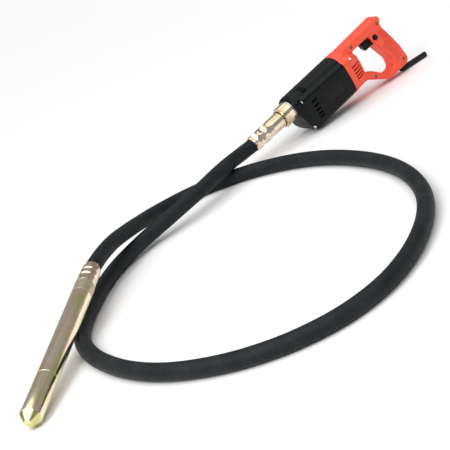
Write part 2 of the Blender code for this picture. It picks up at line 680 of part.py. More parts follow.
def make_handle_shell(name, side):
    """One half of the clamshell: the rear body, the spine, the grip and the lower strut."""
    shell = plate(name, handle_outline(), GRIP_THICK, TOOL, "orange", window=window_outline(), edge=GRIP_EDGE)
    start = HOUSING_LENGTH + GAP
    rings = [section_ring(start)]
    for x in (149, 157, 164, 170, 175, 179.5, 183, 185.5):
        beyond = (x * MM - DOME_START) / (BODY_END - DOME_START)
        rings.append(section_ring(x * MM, scale=math.sqrt(1 - beyond**2)))
    join(shell, loft(f"{name}_body", rings, TOOL, None))
    hollow = plate(f"{name}_hollow", shrunk(handle_outline(), WALL), GRIP_THICK - 2 * WALL, TOOL, None,
                   window=shrunk(window_outline(), -WALL))
    dome = [(0, 178 * MM), (14 * MM, 176 * MM), (24 * MM, 169 * MM), (31 * MM, 159 * MM), (BORE_R, 150 * MM),
            (BORE_R, start - MM), (0, start - MM)]
    room = turned(f"{name}_room", dome, TOOL, None, (0, 0, -MOTOR_DROP), steps=28)
    low = (start - MM, -13 * MM, 4 * MM)
    wiring = block(f"{name}_wiring", low, (250 * MM, 13 * MM, 21 * MM), TOOL, None)
    cut(shell, hollow, room, wiring)
    for number, (x, z) in enumerate(HANDLE_SCREWS, 1):
        reach = handle_screw_side(number)
        across = (math.pi / 2, 0, 0)
        at = (x * MM, 0, z * MM)
        end = reach - (5 * MM if number == 5 else 1.5 * MM)
        boss = rod(f"{name}_boss_{number}", 4.6 * MM, -end, end, TOOL, None, at, across, steps=12)
        join(shell, boss)
        hole = rod(f"{name}_hole_{number}", 1.9 * MM, -9 * MM, reach + MM, TOOL, None, at, across, steps=8)
        pocket = rod(f"{name}_pocket_{number}", 3.5 * MM, reach - 3.6 * MM, 50 * MM, TOOL, None, at, across,
                     steps=12)
        cut(shell, hole, pocket)
    wide, tall = TRIGGER_HALF
    low = (222 * MM, -wide - 0.5 * MM, TRIGGER_MIDDLE - tall - 0.5 * MM)
    high = (248 * MM, wide + 0.5 * MM, TRIGGER_MIDDLE + tall + 0.5 * MM)
    cut(shell, block(f"{name}_trigger_hole", low, high, TOOL, None))
    button_hole = rod(f"{name}_button_hole", 5.8 * MM, 8 * MM, 30 * MM, TOOL, None,
                      (LOCK_AT[0], 0, LOCK_AT[1]), (math.pi / 2, 0, 0), steps=16)
    relief_hole = rod(f"{name}_relief_hole", 6.4 * MM, -20 * MM, 8 * MM, TOOL, None,
                      (RELIEF_AT[0], 0, RELIEF_AT[1]), (0, 0, 0), steps=16)
    vents = barrel_slots(f"{name}_vents", 147, 171, 27 * MM, (-11.2, -18.5, -25.6, -32.2, -38.4), TOOL)
    cut(shell, button_hole, relief_hole, vents)
    far = 60 * MM
    ends = sorted((side * GAP / 2, side * far))
    half = block(f"{name}_half", (100 * MM, ends[0], -130 * MM), (320 * MM, ends[1], 60 * MM), TOOL, None)
    return keep_inside(shell, half)


def make_handle_screws():
    for number, (x, z) in enumerate(HANDLE_SCREWS, 1):
        head = handle_screw_side(number) - 1.2 * MM
        profile = [(0, head), (2.2 * MM, head), (3.1 * MM, head - 0.7 * MM), (3.1 * MM, head - 2 * MM),
                   (1.6 * MM, head - 2.1 * MM), (1.6 * MM, -8 * MM), (0, -8 * MM)]
        turned(f"handle_screw_{number}", profile, TOOL, "steel", (x * MM, 0, z * MM), (math.pi / 2, 0, 0),
               steps=10)


def make_trigger():
    """The trigger slides along +X into the grip, against the spring of the switch."""
    wide = TRIGGER_HALF[0]
    outline = rounded([(211, TRIGGER_MIDDLE / MM + 8, 3), (226, TRIGGER_MIDDLE / MM + 9, 0),
                       (240, TRIGGER_MIDDLE / MM + 9, 0), (240, TRIGGER_MIDDLE / MM - 9, 0),
                       (226, TRIGGER_MIDDLE / MM - 9, 0), (214, TRIGGER_MIDDLE / MM - 7, 4)])
    plate("trigger", outline, 2 * wide, TOOL, "black")


def make_lock_button():
    """The round lock-on button on the left of the grip presses in along +Y."""
    profile = [(0, 20.6 * MM), (4.2 * MM, 20.6 * MM), (5.3 * MM, 19.6 * MM), (5.3 * MM, 13.4 * MM),
               (0, 13.4 * MM)]
    turned("lock_button", profile, TOOL, "black", (LOCK_AT[0], 0, LOCK_AT[1]), (math.pi / 2, 0, 0), steps=20)


def make_switch():
    low = (248.4 * MM, -9.5 * MM, -38 * MM)
    high = (263 * MM, 9.5 * MM, 4 * MM)
    block("switch_body", low, high, TOOL, "black")


def make_cord_entry():
    """The rubber sleeve of the mains cord: out of the handle, round a bend and back along the floor."""
    x, z = RELIEF_AT
    path = [(x, 0, z + 6 * MM), (x, 0, z - 0.5 * MM)]
    path += [(px, 0, pz) for px, pz in arc((x + 8 * MM, z - 0.5 * MM), 8 * MM, 180, 260, 5)]
    start = Vector(path[-1])
    along = Vector((math.cos(TOOL_TILT), 0, -math.sin(TOOL_TILT)))
    path += [tuple(start + along * d * MM) for d in (16, 34, 50, 64)]
    sleeve = tube("cord_sleeve", path, 5.9 * MM, 3, TOOL, "rubber", capped=False)
    wall = sleeve.modifiers.new("wall", "SOLIDIFY")
    wall.thickness = 2.0 * MM
    wall.offset = -1.0
    low = (255 * MM, -9 * MM, -86 * MM)
    high = (266.5 * MM, 9 * MM, -79.5 * MM)
    block("cord_clamp", low, high, TOOL, "black")


# ---------------------------------------------------------------- hose and flexible shaft

def tool_point(x):
    return TOOL.matrix_world @ Vector((x, 0, 0))


def head_point(x):
    return HEAD.matrix_world @ Vector((x, 0, 0))


def hose_path(front, back):
    """The route as evenly spaced stations, with straight ends inside the fittings."""
    route = [tool_point(FERRULE_END - 3 * MM)]
    route += [Vector(p) for p in HOSE_ROUTE]
    route += [head_point(COLLAR_END + 3 * MM)]
    return [tool_point(front)] + smooth_path(route, HOSE_STATIONS) + [head_point(back)]


def make_hose():
    path = hose_path(FERRULE_END + HOSE_INSERT, COLLAR_END - HOSE_INSERT)
    hose = tube("hose", path, HOSE_R, 3, None, "rubber", capped=False)
    wall = hose.modifiers.new("wall", "SOLIDIFY")
    wall.thickness = HOSE_WALL
    wall.offset = -1.0
    tube("flexible_shaft", hose_path(-36.5 * MM, COUPLER_END + 6 * MM), SHAFT_R, 2, None, "steel")


# ---------------------------------------------------------------- pieces of the poker head

def make_head_shells():
    nose = [(0, 40 * MM), (13 * MM, 40 * MM), (13 * MM, NOSE_END), (HEAD_R, NOSE_END), (HEAD_R, CONE_LENGTH),
            (TIP_FLAT_R, 0), (0, 0)]
    turned("head_nose", nose, HEAD, "zinc", steps=28)
    ring("head_tube", HEAD_R, 14.2 * MM, NOSE_END + GAP, TUBE_END, HEAD, "zinc", steps=28)
    ring("head_coupler", HEAD_R - 0.15 * MM, 12.6 * MM, TUBE_END + GAP, COUPLER_END, HEAD, "zinc", steps=28)


def make_collar():
    """The crimped collar, with three raised bands and two grooves."""
    bands = [(COUPLER_END + GAP, 17.4), (366 * MM, 17.2), (377.5 * MM, 16.4), (380.5 * MM, 15.3),
             (383.5 * MM, 16.2), (393 * MM, 16.2), (396 * MM, 15.2), (399 * MM, 16.2), (409 * MM, 16.0),
             (COLLAR_END, 15.2)]
    outside = [(radius * MM, x) for x, radius in reversed(bands)]
    seat = COLLAR_END - HOSE_INSERT - GAP
    inside = [(9 * MM, COUPLER_END + GAP), (9 * MM, seat), (HOSE_R + GAP, seat), (HOSE_R + GAP, COLLAR_END)]
    turned("head_collar", outside + inside, HEAD, "zinc", steps=24)


def make_rotor():
    """The shaft in the head with its off-centre weight, its two bearings, the seal and the coupling."""
    rotor = rod("eccentric_rotor", 6 * MM, 44 * MM, 346 * MM, HEAD, "steel", steps=20)
    weight = arc((0, 0), 12.4 * MM, -90, 90, 10)
    join(rotor, plate("rotor_weight", weight, 166 * MM, HEAD, None, (210 * MM, 0, 0), CROSS_SECTION))
    ring("head_front_bearing", 12.7 * MM, 6.3 * MM, 47 * MM, 57 * MM, HEAD, "steel", steps=24)
    ring("head_rear_bearing", 13.9 * MM, 6.3 * MM, 311 * MM, 322 * MM, HEAD, "steel", steps=24)
    ring("oil_seal", 12.3 * MM, 6.3 * MM, 335 * MM, 342 * MM, HEAD, "rubber", steps=24)
    rod("shaft_coupling", 7.5 * MM, 346.3 * MM, COUPLER_END + 5.5 * MM, HEAD, "steel", steps=16)


clear_scene()
PARTS = collection("concrete_vibrator")
CUTTERS = collection("cutters")
LOOKS = make_materials()
TOOL = frame_empty("tool_frame", TOOL_AT, (0, -TOOL_TILT, 0))
HEAD = frame_empty("head_frame", HEAD_AT, (0, -HEAD_TILT, HEAD_TURN))
bpy.context.view_layer.update()

make_motor_housing()
make_nose_screws()
make_spigot()
make_coupling_nut()
make_ferrule()
make_gears()
make_spindle()
make_bearing_plate()
make_armature()
make_fan()
make_stator()
make_brush_gear()
make_handle_shell("handle_shell_left", -1)
make_handle_shell("handle_shell_right", 1)
make_handle_screws()
make_trigger()
make_lock_button()
make_switch()
make_cord_entry()
make_hose()
make_head_shells()
make_collar()
make_rotor()
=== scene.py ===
"""Concrete vibrator: the fine surface of the motor unit, the hose and the poker head.

The motor unit and the poker head each have an axis of their own, +X of TOOL and +X of HEAD. Their
shapes are drawn along it in millimetres, and MM turns those into metres. Places in the frame of the
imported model, such as the route of the hose, are in metres.
"""
import json
import math

import bmesh
import bpy
from mathutils import Matrix, Vector


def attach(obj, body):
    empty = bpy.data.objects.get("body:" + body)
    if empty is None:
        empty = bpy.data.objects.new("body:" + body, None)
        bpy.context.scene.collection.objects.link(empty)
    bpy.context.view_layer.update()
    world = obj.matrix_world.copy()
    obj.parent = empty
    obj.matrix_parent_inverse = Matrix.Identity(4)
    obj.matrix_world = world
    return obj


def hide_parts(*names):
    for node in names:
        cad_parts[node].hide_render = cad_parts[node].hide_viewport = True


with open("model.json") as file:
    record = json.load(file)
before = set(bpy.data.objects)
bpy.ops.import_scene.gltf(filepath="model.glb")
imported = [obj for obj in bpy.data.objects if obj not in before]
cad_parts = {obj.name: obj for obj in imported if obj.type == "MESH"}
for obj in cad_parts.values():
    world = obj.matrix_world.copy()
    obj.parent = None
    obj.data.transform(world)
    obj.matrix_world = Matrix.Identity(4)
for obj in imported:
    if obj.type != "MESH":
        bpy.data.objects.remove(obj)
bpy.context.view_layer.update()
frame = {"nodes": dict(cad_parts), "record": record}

MM = 0.001
TILT = math.radians(10.0)
TOOL_AT = Vector((0.2631, 0.2112, 0.0623))
HEAD_AT = Vector((-0.6089, -0.2441, 0.0161))
HEAD_TURN = math.radians(44.2)
HEAD_TILT = math.radians(6.9)
TOOL = Matrix.Translation(TOOL_AT) @ Matrix.Rotation(-TILT, 4, "Y")
HEAD = (Matrix.Translation(HEAD_AT) @ Matrix.Rotation(HEAD_TURN, 4, "Z")
        @ Matrix.Rotation(-HEAD_TILT, 4, "Y"))
BODY = "motor_body"
METAL_SLOTS = ("yellow_zinc", "bright_steel")

# The motor unit, from the front of its housing at x = 0 to the back of its handle.
MOTOR_DROP = 24.0
BARREL_HALF = 38.0
WALL = 3.6
GAP = 0.3
BORE_R = BARREL_HALF - WALL - GAP
HOUSING_LENGTH = 134.0
DOME_START = 149.0
DOME_CENTRE = -18.0
BODY_END = 187.0
GRIP_THICK = 35.0
GRIP_HALF = GRIP_THICK / 2
GRIP_EDGE = 5.3

# The coupling in front of it, at negative x.
NUT_BACK = -3.2
NUT_FRONT = -28.9
FERRULE_END = -110.5

# The hose, and how far it runs into the fittings at its ends.
HOSE_R = 14.0 * MM
HOSE_INSIDE = 14 * MM

# The poker head, from its tip at x = 0.
HEAD_R = 17.75
NOSE_END = 107.0
TUBE_END = 332.0
COUPLER_END = 362.0
COLLAR_END = 417.0


def linked(name, data):
    """A new object in the scene, with the given data."""
    obj = bpy.data.objects.new(name, data)
    bpy.context.scene.collection.objects.link(obj)
    return obj


# -------------------- camera

CAMERA_AT = (-1.0622, -2.1244, 0.7823)
CAMERA_HEADING = math.radians(25)
CAMERA_DIP = math.radians(18.15)
CAMERA_ROLL = math.radians(25.55)
LENS = 112.0
SENSOR = 36.0
VIEW_END = 50.0


def make_camera():
    """A long lens that looks down by CAMERA_DIP and is rolled, so that the motor unit runs uphill."""
    right = Vector((math.cos(CAMERA_HEADING), -math.sin(CAMERA_HEADING), 0))
    ahead = Vector((math.sin(CAMERA_HEADING), math.cos(CAMERA_HEADING), 0))
    up = ahead * math.sin(CAMERA_DIP) + Vector((0, 0, math.cos(CAMERA_DIP)))
    forward = ahead * math.cos(CAMERA_DIP) - Vector((0, 0, math.sin(CAMERA_DIP)))
    x_axis = right * math.cos(CAMERA_ROLL) - up * math.sin(CAMERA_ROLL)
    y_axis = right * math.sin(CAMERA_ROLL) + up * math.cos(CAMERA_ROLL)
    camera = linked("camera", bpy.data.cameras.new("camera"))
    camera.data.lens = LENS
    camera.data.sensor_width = SENSOR
    camera.data.clip_end = VIEW_END
    turn = Matrix((x_axis, y_axis, -forward)).transposed().to_4x4()
    camera.matrix_world = Matrix.Translation(CAMERA_AT) @ turn
    bpy.context.scene.camera = camera


# -------------------- materials

# Nearly all of a noise lies between these two values.
NOISE_LOW = 0.3
NOISE_HIGH = 0.7


class Look:
    """A material with a Principled shader, and short calls to add nodes to it."""

    def __init__(self, name, colour, roughness, metallic=0.0):
        self.material = bpy.data.materials.new(name)
        self.material.use_nodes = True
        self.tree = self.material.node_tree
        self.shader = self.tree.nodes["Principled BSDF"]
        self.set("Base Color", (*colour, 1.0))
        self.set("Roughness", roughness)
        self.set("Metallic", metallic)

    def set(self, socket, value):
        self.shader.inputs[socket].default_value = value

    def link(self, source, target):
        self.tree.links.new(source, target)

    def node(self, kind, **values):
        made = self.tree.nodes.new(kind)
        for key, value in values.items():
            setattr(made, key, value)
        return made

    def coords(self, scale=(1, 1, 1)):
        where = self.node("ShaderNodeTexCoord")
        mapping = self.node("ShaderNodeMapping")
        mapping.inputs["Scale"].default_value = scale
        self.link(where.outputs["Object"], mapping.inputs["Vector"])
        return mapping.outputs["Vector"]

    def noise(self, coords, scale, detail=3.0, rough=0.5):
        made = self.node("ShaderNodeTexNoise")
        made.inputs["Scale"].default_value = scale
        made.inputs["Detail"].default_value = detail
        made.inputs["Roughness"].default_value = rough
        self.link(coords, made.inputs["Vector"])
        return made.outputs["Fac"]

    def ramp(self, factor, stops):
        made = self.node("ShaderNodeValToRGB")
        elements = made.color_ramp.elements
        while len(elements) < len(stops):
            elements.new(0.5)
        for element, (place, colour) in zip(elements, stops):
            element.position = place
            element.color = (*colour, 1.0)
        self.link(factor, made.inputs["Fac"])
        return made.outputs["Color"]

    def remap(self, factor, low, high, start=0.0, end=1.0):
        made = self.node("ShaderNodeMapRange")
        for socket, value in (("From Min", low), ("From Max", high), ("To Min", start), ("To Max", end)):
            made.inputs[socket].default_value = value
        self.link(factor, made.inputs["Value"])
        return made.outputs["Result"]

    def math(self, operation, first, second=None):
        made = self.node("ShaderNodeMath", operation=operation)
        for index, value in enumerate((first, second)):
            if isinstance(value, (int, float)):
                made.inputs[index].default_value = value
            elif value is not None:
                self.link(value, made.inputs[index])
        return made.outputs[0]

    def mix(self, factor, first, second):
        """A mix of two colours. Sockets 0, 6 and 7 of the node are its factor and its colours."""
        made = self.node("ShaderNodeMix", data_type="RGBA")
        for index, value in ((0, factor), (6, first), (7, second)):
            if isinstance(value, (int, float)):
                made.inputs[index].default_value = value
            elif isinstance(value, tuple):
                made.inputs[index].default_value = (*value, 1.0)
            else:
                self.link(value, made.inputs[index])
        return made.outputs[2]

    def bump(self, height, strength, distance):
        made = self.node("ShaderNodeBump")
        made.inputs["Strength"].default_value = strength
        made.inputs["Distance"].default_value = distance
        self.link(height, made.inputs["Height"])
        self.link(made.outputs["Normal"], self.shader.inputs["Normal"])

    def colour_from(self, output):
        self.link(output, self.shader.inputs["Base Color"])

    def roughness_over(self, factor, low, high):
        """A roughness that goes from low to high with a noise."""
        spread = self.remap(factor, NOISE_LOW, NOISE_HIGH, low, high)
        self.link(spread, self.shader.inputs["Roughness"])


def moulded(name, colour, roughness, grain=1400.0, depth=0.00006, strength=0.35, mottle=0.06, shine=0.5):
    """Moulded plastic with a fine spark-eroded grain and slight mottling."""
    look = Look(name, colour, roughness)
    coords = look.coords()
    cloud = look.noise(coords, 45.0, 4.0)
    darker = tuple(c * (1 - mottle) for c in colour)
    lighter = tuple(min(c * (1 + mottle), 1.0) for c in colour)
    look.set("Specular IOR Level", shine)
    look.colour_from(look.ramp(cloud, [(NOISE_LOW, darker), (NOISE_HIGH, lighter)]))
    look.roughness_over(cloud, roughness - 0.05, roughness + 0.07)
    look.bump(look.noise(coords, grain, 2.0), strength, depth)
    return look.material


def chromate(name, tints, roughness=0.2, streak=(3.0, 60.0, 60.0), scratch=0.25):
    """Yellow-chromated steel: bands of the given tints that run along the piece, and fine scratches.
    streak is how fast the bands change along the axis and across it."""
    look = Look(name, tints[0][1], roughness, 1.0)
    bands = look.noise(look.coords(streak), 1.0, 3.0, 0.55)
    cloud = look.noise(look.coords(), 28.0, 3.0)
    place = look.math("ADD", look.math("MULTIPLY", bands, 0.8), look.math("MULTIPLY", cloud, 0.2))
    look.colour_from(look.ramp(place, tints))
    lines = look.noise(look.coords((40.0, 1500.0, 1500.0)), 1.0, 2.0)
    look.roughness_over(lines, roughness - 0.06, roughness + 0.08)
    look.bump(lines, scratch, 0.00003)
    return look.material


ZINC_TINTS = [(0.28, (0.52, 0.54, 0.17)), (0.38, (0.82, 0.74, 0.36)), (0.46, (0.96, 0.87, 0.69)),
              (0.52, (0.96, 0.73, 0.60)), (0.60, (0.78, 0.74, 0.31)), (0.70, (0.56, 0.62, 0.26))]
NUT_TINTS = [(0.30, (0.32, 0.27, 0.10)), (0.42, (0.58, 0.46, 0.29)), (0.50, (0.92, 0.81, 0.66)),
             (0.58, (0.76, 0.53, 0.42)), (0.67, (0.60, 0.53, 0.27)), (0.78, (0.34, 0.28, 0.10))]
TIP_TINTS = [(0.35, (0.66, 0.62, 0.22)), (0.5, (0.84, 0.82, 0.52)), (0.65, (0.58, 0.55, 0.20))]


def make_band_look():
    """The coupler band: matt, grey-tan and faintly blotched."""
    look = Look("matt_band", (0.52, 0.45, 0.33), 0.45, 0.8)
    coords = look.coords()
    cloud = look.noise(coords, 70.0, 5.0, 0.6)
    tints = [(NOISE_LOW, (0.45, 0.38, 0.27)), (NOISE_HIGH, (0.66, 0.56, 0.42))]
    look.colour_from(look.ramp(cloud, tints))
    look.bump(look.noise(coords, 900.0, 3.0), 0.4, 0.00005)
    return look.material


# The cloth print of the hose: metres of hose for each turn of a lap and of a weft thread, and how many
# radians of each thread's wave go into a turn. The paler line's place and half width are shares of a turn.
LAP_PITCH = 0.052
WEFT_PITCH = 0.075
WARP_WAVE = 180.0
WEFT_WAVE = 300.0
STRIPE_AT = 0.905
STRIPE_HALF = 0.014


def make_hose_look():
    """Black rubber with the print of its wrapping cloth: a fine weave, slanted laps and a paler line."""
    look = Look("wrapped_rubber", (0.020, 0.022, 0.023), 0.62)
    uv = look.node("ShaderNodeUVMap", uv_map="run")
    split = look.node("ShaderNodeSeparateXYZ")
    look.link(uv.outputs["UV"], split.inputs["Vector"])
    along = split.outputs["X"]
    around = split.outputs["Y"]
    slant = look.math("ADD", look.math("DIVIDE", along, LAP_PITCH), around)
    lap = look.math("ABSOLUTE", look.math("SUBTRACT", look.math("FRACT", slant), 0.5))
    lap_line = look.remap(lap, 0.0, 0.03, 1.0, 0.0)
    cloud = look.noise(look.coords(), 22.0, 5.0, 0.6)
    fine = look.noise(look.coords(), 260.0, 3.0)
    base = look.ramp(cloud, [(0.30, (0.0055, 0.0080, 0.0092)), (0.72, (0.0165, 0.0210, 0.0230))])
    base = look.mix(look.math("MULTIPLY", lap_line, 0.35), base, (0.038, 0.042, 0.043))
    offset = look.math("ABSOLUTE", look.math("SUBTRACT", around, STRIPE_AT))
    worn = look.remap(fine, 0.35, 0.6)
    stripe = look.math("MULTIPLY", look.remap(offset, 0.0, STRIPE_HALF, 1.0, 0.0), worn)
    look.colour_from(look.mix(look.math("MULTIPLY", stripe, 0.55), base, (0.15, 0.155, 0.15)))
    warp = look.math("SINE", look.math("MULTIPLY", slant, WARP_WAVE))
    counter = look.math("SUBTRACT", around, look.math("DIVIDE", along, WEFT_PITCH))
    weft = look.math("SINE", look.math("MULTIPLY", counter, WEFT_WAVE))
    weave = look.math("MULTIPLY", look.math("ADD", warp, weft), 0.25)
    height = look.math("ADD", look.math("ADD", weave, look.math("MULTIPLY", lap_line, 0.9)), fine)
    look.bump(height, 0.45, 0.00022)
    look.roughness_over(fine, 0.52, 0.70)
    look.set("Specular IOR Level", 0.22)
    return look.material


def make_plain_metal(name, colour, roughness):
    """Bare or clear-plated metal with fine lines along its axis."""
    look = Look(name, colour, roughness, 1.0)
    lines = look.noise(look.coords((200.0, 2500.0, 2500.0)), 1.0, 2.0)
    look.roughness_over(lines, roughness - 0.06, roughness + 0.1)
    look.bump(lines, 0.2, 0.00002)
    return look.material


PLAIN_METALS = {
    "white_zinc": ((0.78, 0.80, 0.84), 0.24),
    "bright_steel": ((0.56, 0.57, 0.58), 0.28),
    "dark_steel": ((0.17, 0.16, 0.16), 0.38),
    "laminated_iron": ((0.22, 0.22, 0.23), 0.45),
    "copper": ((0.72, 0.36, 0.20), 0.30),
    "brass": ((0.72, 0.55, 0.26), 0.30),
    "aluminium": ((0.66, 0.67, 0.68), 0.38),
}


def make_looks():
    """Every material by name: those of the record's slots, and some of single pieces."""
    looks = {
        "black_plastic": moulded("black_plastic", (0.0036, 0.0048, 0.0054), 0.38, shine=0.17),
        # orange_line is a darker red for the lines on the grip and the panel: painted shade of the moulded
        # grooves that these raised lines stand for.
        "orange_line": moulded("orange_line", (0.62, 0.045, 0.019), 0.5, 1100.0, mottle=0.03),
        "orange_plastic": moulded("orange_plastic", (0.92, 0.085, 0.036), 0.36, 1100.0, mottle=0.03),
        "black_rubber": moulded("black_rubber", (0.008, 0.009, 0.0095), 0.5, 700.0, 0.0001, shine=0.3),
        "pad": moulded("pad_plastic", (0.0085, 0.0105, 0.0110), 0.26, 2200.0, 0.00002, 0.1, 0.1, 0.4),
        "carbon": moulded("carbon", (0.03, 0.03, 0.032), 0.7, 500.0, 0.0001),
        "hose": make_hose_look(),
        "yellow_zinc": chromate("yellow_zinc", ZINC_TINTS),
        "nut": chromate("nut_zinc", NUT_TINTS, 0.16, (6.0, 45.0, 45.0), 0.2),
        "tip": chromate("tip_zinc", TIP_TINTS, 0.2, (20.0, 20.0, 20.0), 0.2),
        "band": make_band_look(),
    }
    for name, (colour, roughness) in PLAIN_METALS.items():
        looks[name] = make_plain_metal(name, colour, roughness)
    return looks


# -------------------- modelling helpers

def plain_object(name, shape):
    """An object with the mesh of a bmesh, which is freed."""
    mesh = bpy.data.meshes.new(name)
    shape.to_mesh(mesh)
    shape.free()
    return linked(name, mesh)


def to_object(name, shape, look):
    bmesh.ops.recalc_face_normals(shape, faces=shape.faces)
    obj = plain_object(name, shape)
    obj.data.materials.append(LOOKS[look])
    return obj


def finish_piece(obj, matrix, slot, *nodes, body=BODY, degrees=35):
    """Puts a finished piece in its place, on its body, in place of its CAD nodes. A metal piece keeps
    its own axis, for its drawn and turned finish, and any other is written in the frame itself. Edges
    sharper than degrees stay sharp."""
    if slot in METAL_SLOTS:
        obj.matrix_world = matrix
    else:
        obj.data.transform(matrix)
    obj.data.shade_smooth()
    obj.data.set_sharp_from_angle(angle=math.radians(degrees))
    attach(obj, body)
    if nodes:
        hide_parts(*nodes)


def recolour(obj, look):
    """Gives an object one look in place of whatever its tools left on it."""
    obj.data.materials.clear()
    obj.data.materials.append(LOOKS[look])


def in_metres(points):
    return [(a * MM, b * MM) for a, b in points]


def fillet(corners, steps=4):
    """A closed outline from (x, y, radius) in millimetres, its corners rounded. The result is in metres."""
    points = []
    for i, (x, y, radius) in enumerate(corners):
        here = Vector((x, y)) * MM
        before = (Vector(corners[i - 1][:2]) * MM - here).normalized()
        after = (Vector(corners[(i + 1) % len(corners)][:2]) * MM - here).normalized()
        half = before.angle(after) / 2
        if radius == 0 or abs(half - math.pi / 2) < 0.01:
            points.append(tuple(here))
            continue
        reach = radius * MM / math.tan(half)
        centre = here + (before + after).normalized() * (radius * MM / math.sin(half))
        first = here + before * reach - centre
        turn = first.angle_signed(here + after * reach - centre)
        for step in range(steps + 1):
            spoke = first.copy()
            spoke.rotate(Matrix.Rotation(-turn * step / steps, 2))
            points.append(tuple(centre + spoke))
    return points


def arc(centre, radius, start, end, steps):
    """Points on an arc, from one angle in degrees to another."""
    angles = [math.radians(start + (end - start) * i / steps) for i in range(steps + 1)]
    return [(centre[0] + radius * math.cos(a), centre[1] + radius * math.sin(a)) for a in angles]


def moved_in(outline, distance):
    """The same closed outline moved inwards by distance, or outwards where it is negative."""
    count = len(outline)
    area = sum(outline[i - 1][0] * outline[i][1] - outline[i][0] * outline[i - 1][1] for i in range(count))
    side = 1 if area > 0 else -1
    moved = []
    for i, point in enumerate(outline):
        here = Vector(point)
        before = (here - Vector(outline[i - 1])).normalized()
        after = (Vector(outline[(i + 1) % count]) - here).normalized()
        inward = (Vector((-before.y, before.x)) + Vector((-after.y, after.x))).normalized() * side
        cosine = max(inward.dot(Vector((-after.y, after.x)) * side), 0.5)
        moved.append(tuple(here + inward * distance / cosine))
    return moved


ON_AXIS = 1e-6


def lathe(name, profile, look, steps=96, along=None, radius=None):
    """A closed turned mesh about +X. The profile is a closed loop of (radius, x) in metres, or an open
    one where it starts and ends on the axis. along is roughly the gap to leave between rings, and
    radius(r, x, angle) gives a point its own radius."""
    closed = profile[0][0] > ON_AXIS
    loop = list(profile)
    if along:
        fine = []
        pairs = zip(loop, loop[1:] + loop[:1]) if closed else zip(loop, loop[1:])
        for (r0, x0), (r1, x1) in pairs:
            count = max(1, int(abs(x1 - x0) / along))
            fine += [(r0 + (r1 - r0) * i / count, x0 + (x1 - x0) * i / count) for i in range(count)]
        if not closed:
            fine.append(loop[-1])
        loop = fine
    shape = bmesh.new()
    rings = []
    for r, x in loop:
        if r < ON_AXIS:
            rings.append([shape.verts.new((x, 0, 0))] * steps)
            continue
        ring = []
        for i in range(steps):
            a = 2 * math.pi * i / steps
            actual = radius(r, x, a) if radius else r
            ring.append(shape.verts.new((x, actual * math.cos(a), actual * math.sin(a))))
        rings.append(ring)
    last = len(rings) if closed else len(rings) - 1
    for i in range(last):
        one, two = rings[i], rings[(i + 1) % len(rings)]
        for j in range(steps):
            k = (j + 1) % steps
            corners = [one[j], one[k], two[k], two[j]]
            corners = [v for n, v in enumerate(corners) if v not in corners[:n]]
            if len(corners) > 2:
                shape.faces.new(corners)
    return to_object(name, shape, look)


def mesh_of(obj):
    """The evaluated mesh of an object, as a new object, in place of it."""
    bpy.context.view_layer.update()
    depsgraph = bpy.context.evaluated_depsgraph_get()
    mesh = bpy.data.meshes.new_from_object(obj.evaluated_get(depsgraph))
    name = obj.name
    place = obj.matrix_world.copy()
    bpy.data.objects.remove(obj, do_unlink=True)
    shape = bmesh.new()
    shape.from_mesh(mesh)
    bmesh.ops.remove_doubles(shape, verts=shape.verts, dist=0.000001)
    shape.to_mesh(mesh)
    shape.free()
    mesh.transform(place)
    return linked(name, mesh)


SIDE_VIEW = Matrix.Rotation(math.pi / 2, 4, "X")


def add_line(curve, places, closed=False):
    """Adds a line of straight stretches through places in metres to a curve."""
    spline = curve.splines.new("POLY")
    spline.points.add(len(places) - 1)
    for point, place in zip(spline.points, places):
        point.co = (*place, 1)
    spline.use_cyclic_u = closed


def plate(name, outline, thickness, turn, window=None, edge=0.0):
    """A flat outline, extruded by thickness about its middle, with an optional window and round edges."""
    curve = bpy.data.curves.new(name, "CURVE")
    curve.dimensions = "2D"
    curve.fill_mode = "BOTH"
    curve.extrude = thickness * MM / 2 - edge
    curve.bevel_depth = edge
    curve.bevel_resolution = 4
    loops = [moved_in(outline, edge)] + ([moved_in(window, -edge)] if window else [])
    for loop in loops:
        add_line(curve, [(x, y, 0) for x, y in loop], closed=True)
    obj = linked(name, curve)
    obj.matrix_world = turn
    return mesh_of(obj)


def rod(name, radius, low, high, at=(0, 0, 0), axis="X", steps=32):
    """A plain cylinder used as a tool: along x, y (towards -y) or z, in millimetres."""
    shape = bmesh.new()
    bmesh.ops.create_cone(shape, cap_ends=True, segments=steps, radius1=radius * MM, radius2=radius * MM,
                          depth=(high - low) * MM)
    obj = plain_object(name, shape)
    turn = {"X": Matrix.Rotation(math.pi / 2, 4, "Y"), "Y": Matrix.Rotation(math.pi / 2, 4, "X"),
            "Z": Matrix.Identity(4)}[axis]
    middle = Matrix.Translation((0, 0, (low + high) / 2 * MM))
    obj.matrix_world = Matrix.Translation(Vector(at) * MM) @ turn @ middle
    return obj


def boxes(name, items, bevel=0.0):
    """One mesh of several boxes: (centre, size, turn about X), in millimetres and radians."""
    shape = bmesh.new()
    for centre, size, turn in items:
        matrix = (Matrix.Translation(Vector(centre) * MM) @ Matrix.Rotation(turn, 4, "X")
                  @ Matrix.Diagonal((*(Vector(size) * MM), 1)))
        bmesh.ops.create_cube(shape, size=1.0, matrix=matrix)
    if bevel:
        bmesh.ops.bevel(shape, geom=shape.edges, offset=bevel * MM, segments=3, profile=0.5,
                        affect="EDGES")
    return plain_object(name, shape)


def combine(obj, operation, *others):
    """The object joined with, cut by or kept within the others, one after another. They are removed."""
    for other in others:
        modifier = obj.modifiers.new(operation, "BOOLEAN")
        modifier.operation = operation
        modifier.object = other
        modifier.solver = "EXACT"
    obj = mesh_of(obj)
    for other in others:
        bpy.data.objects.remove(other, do_unlink=True)
    return obj


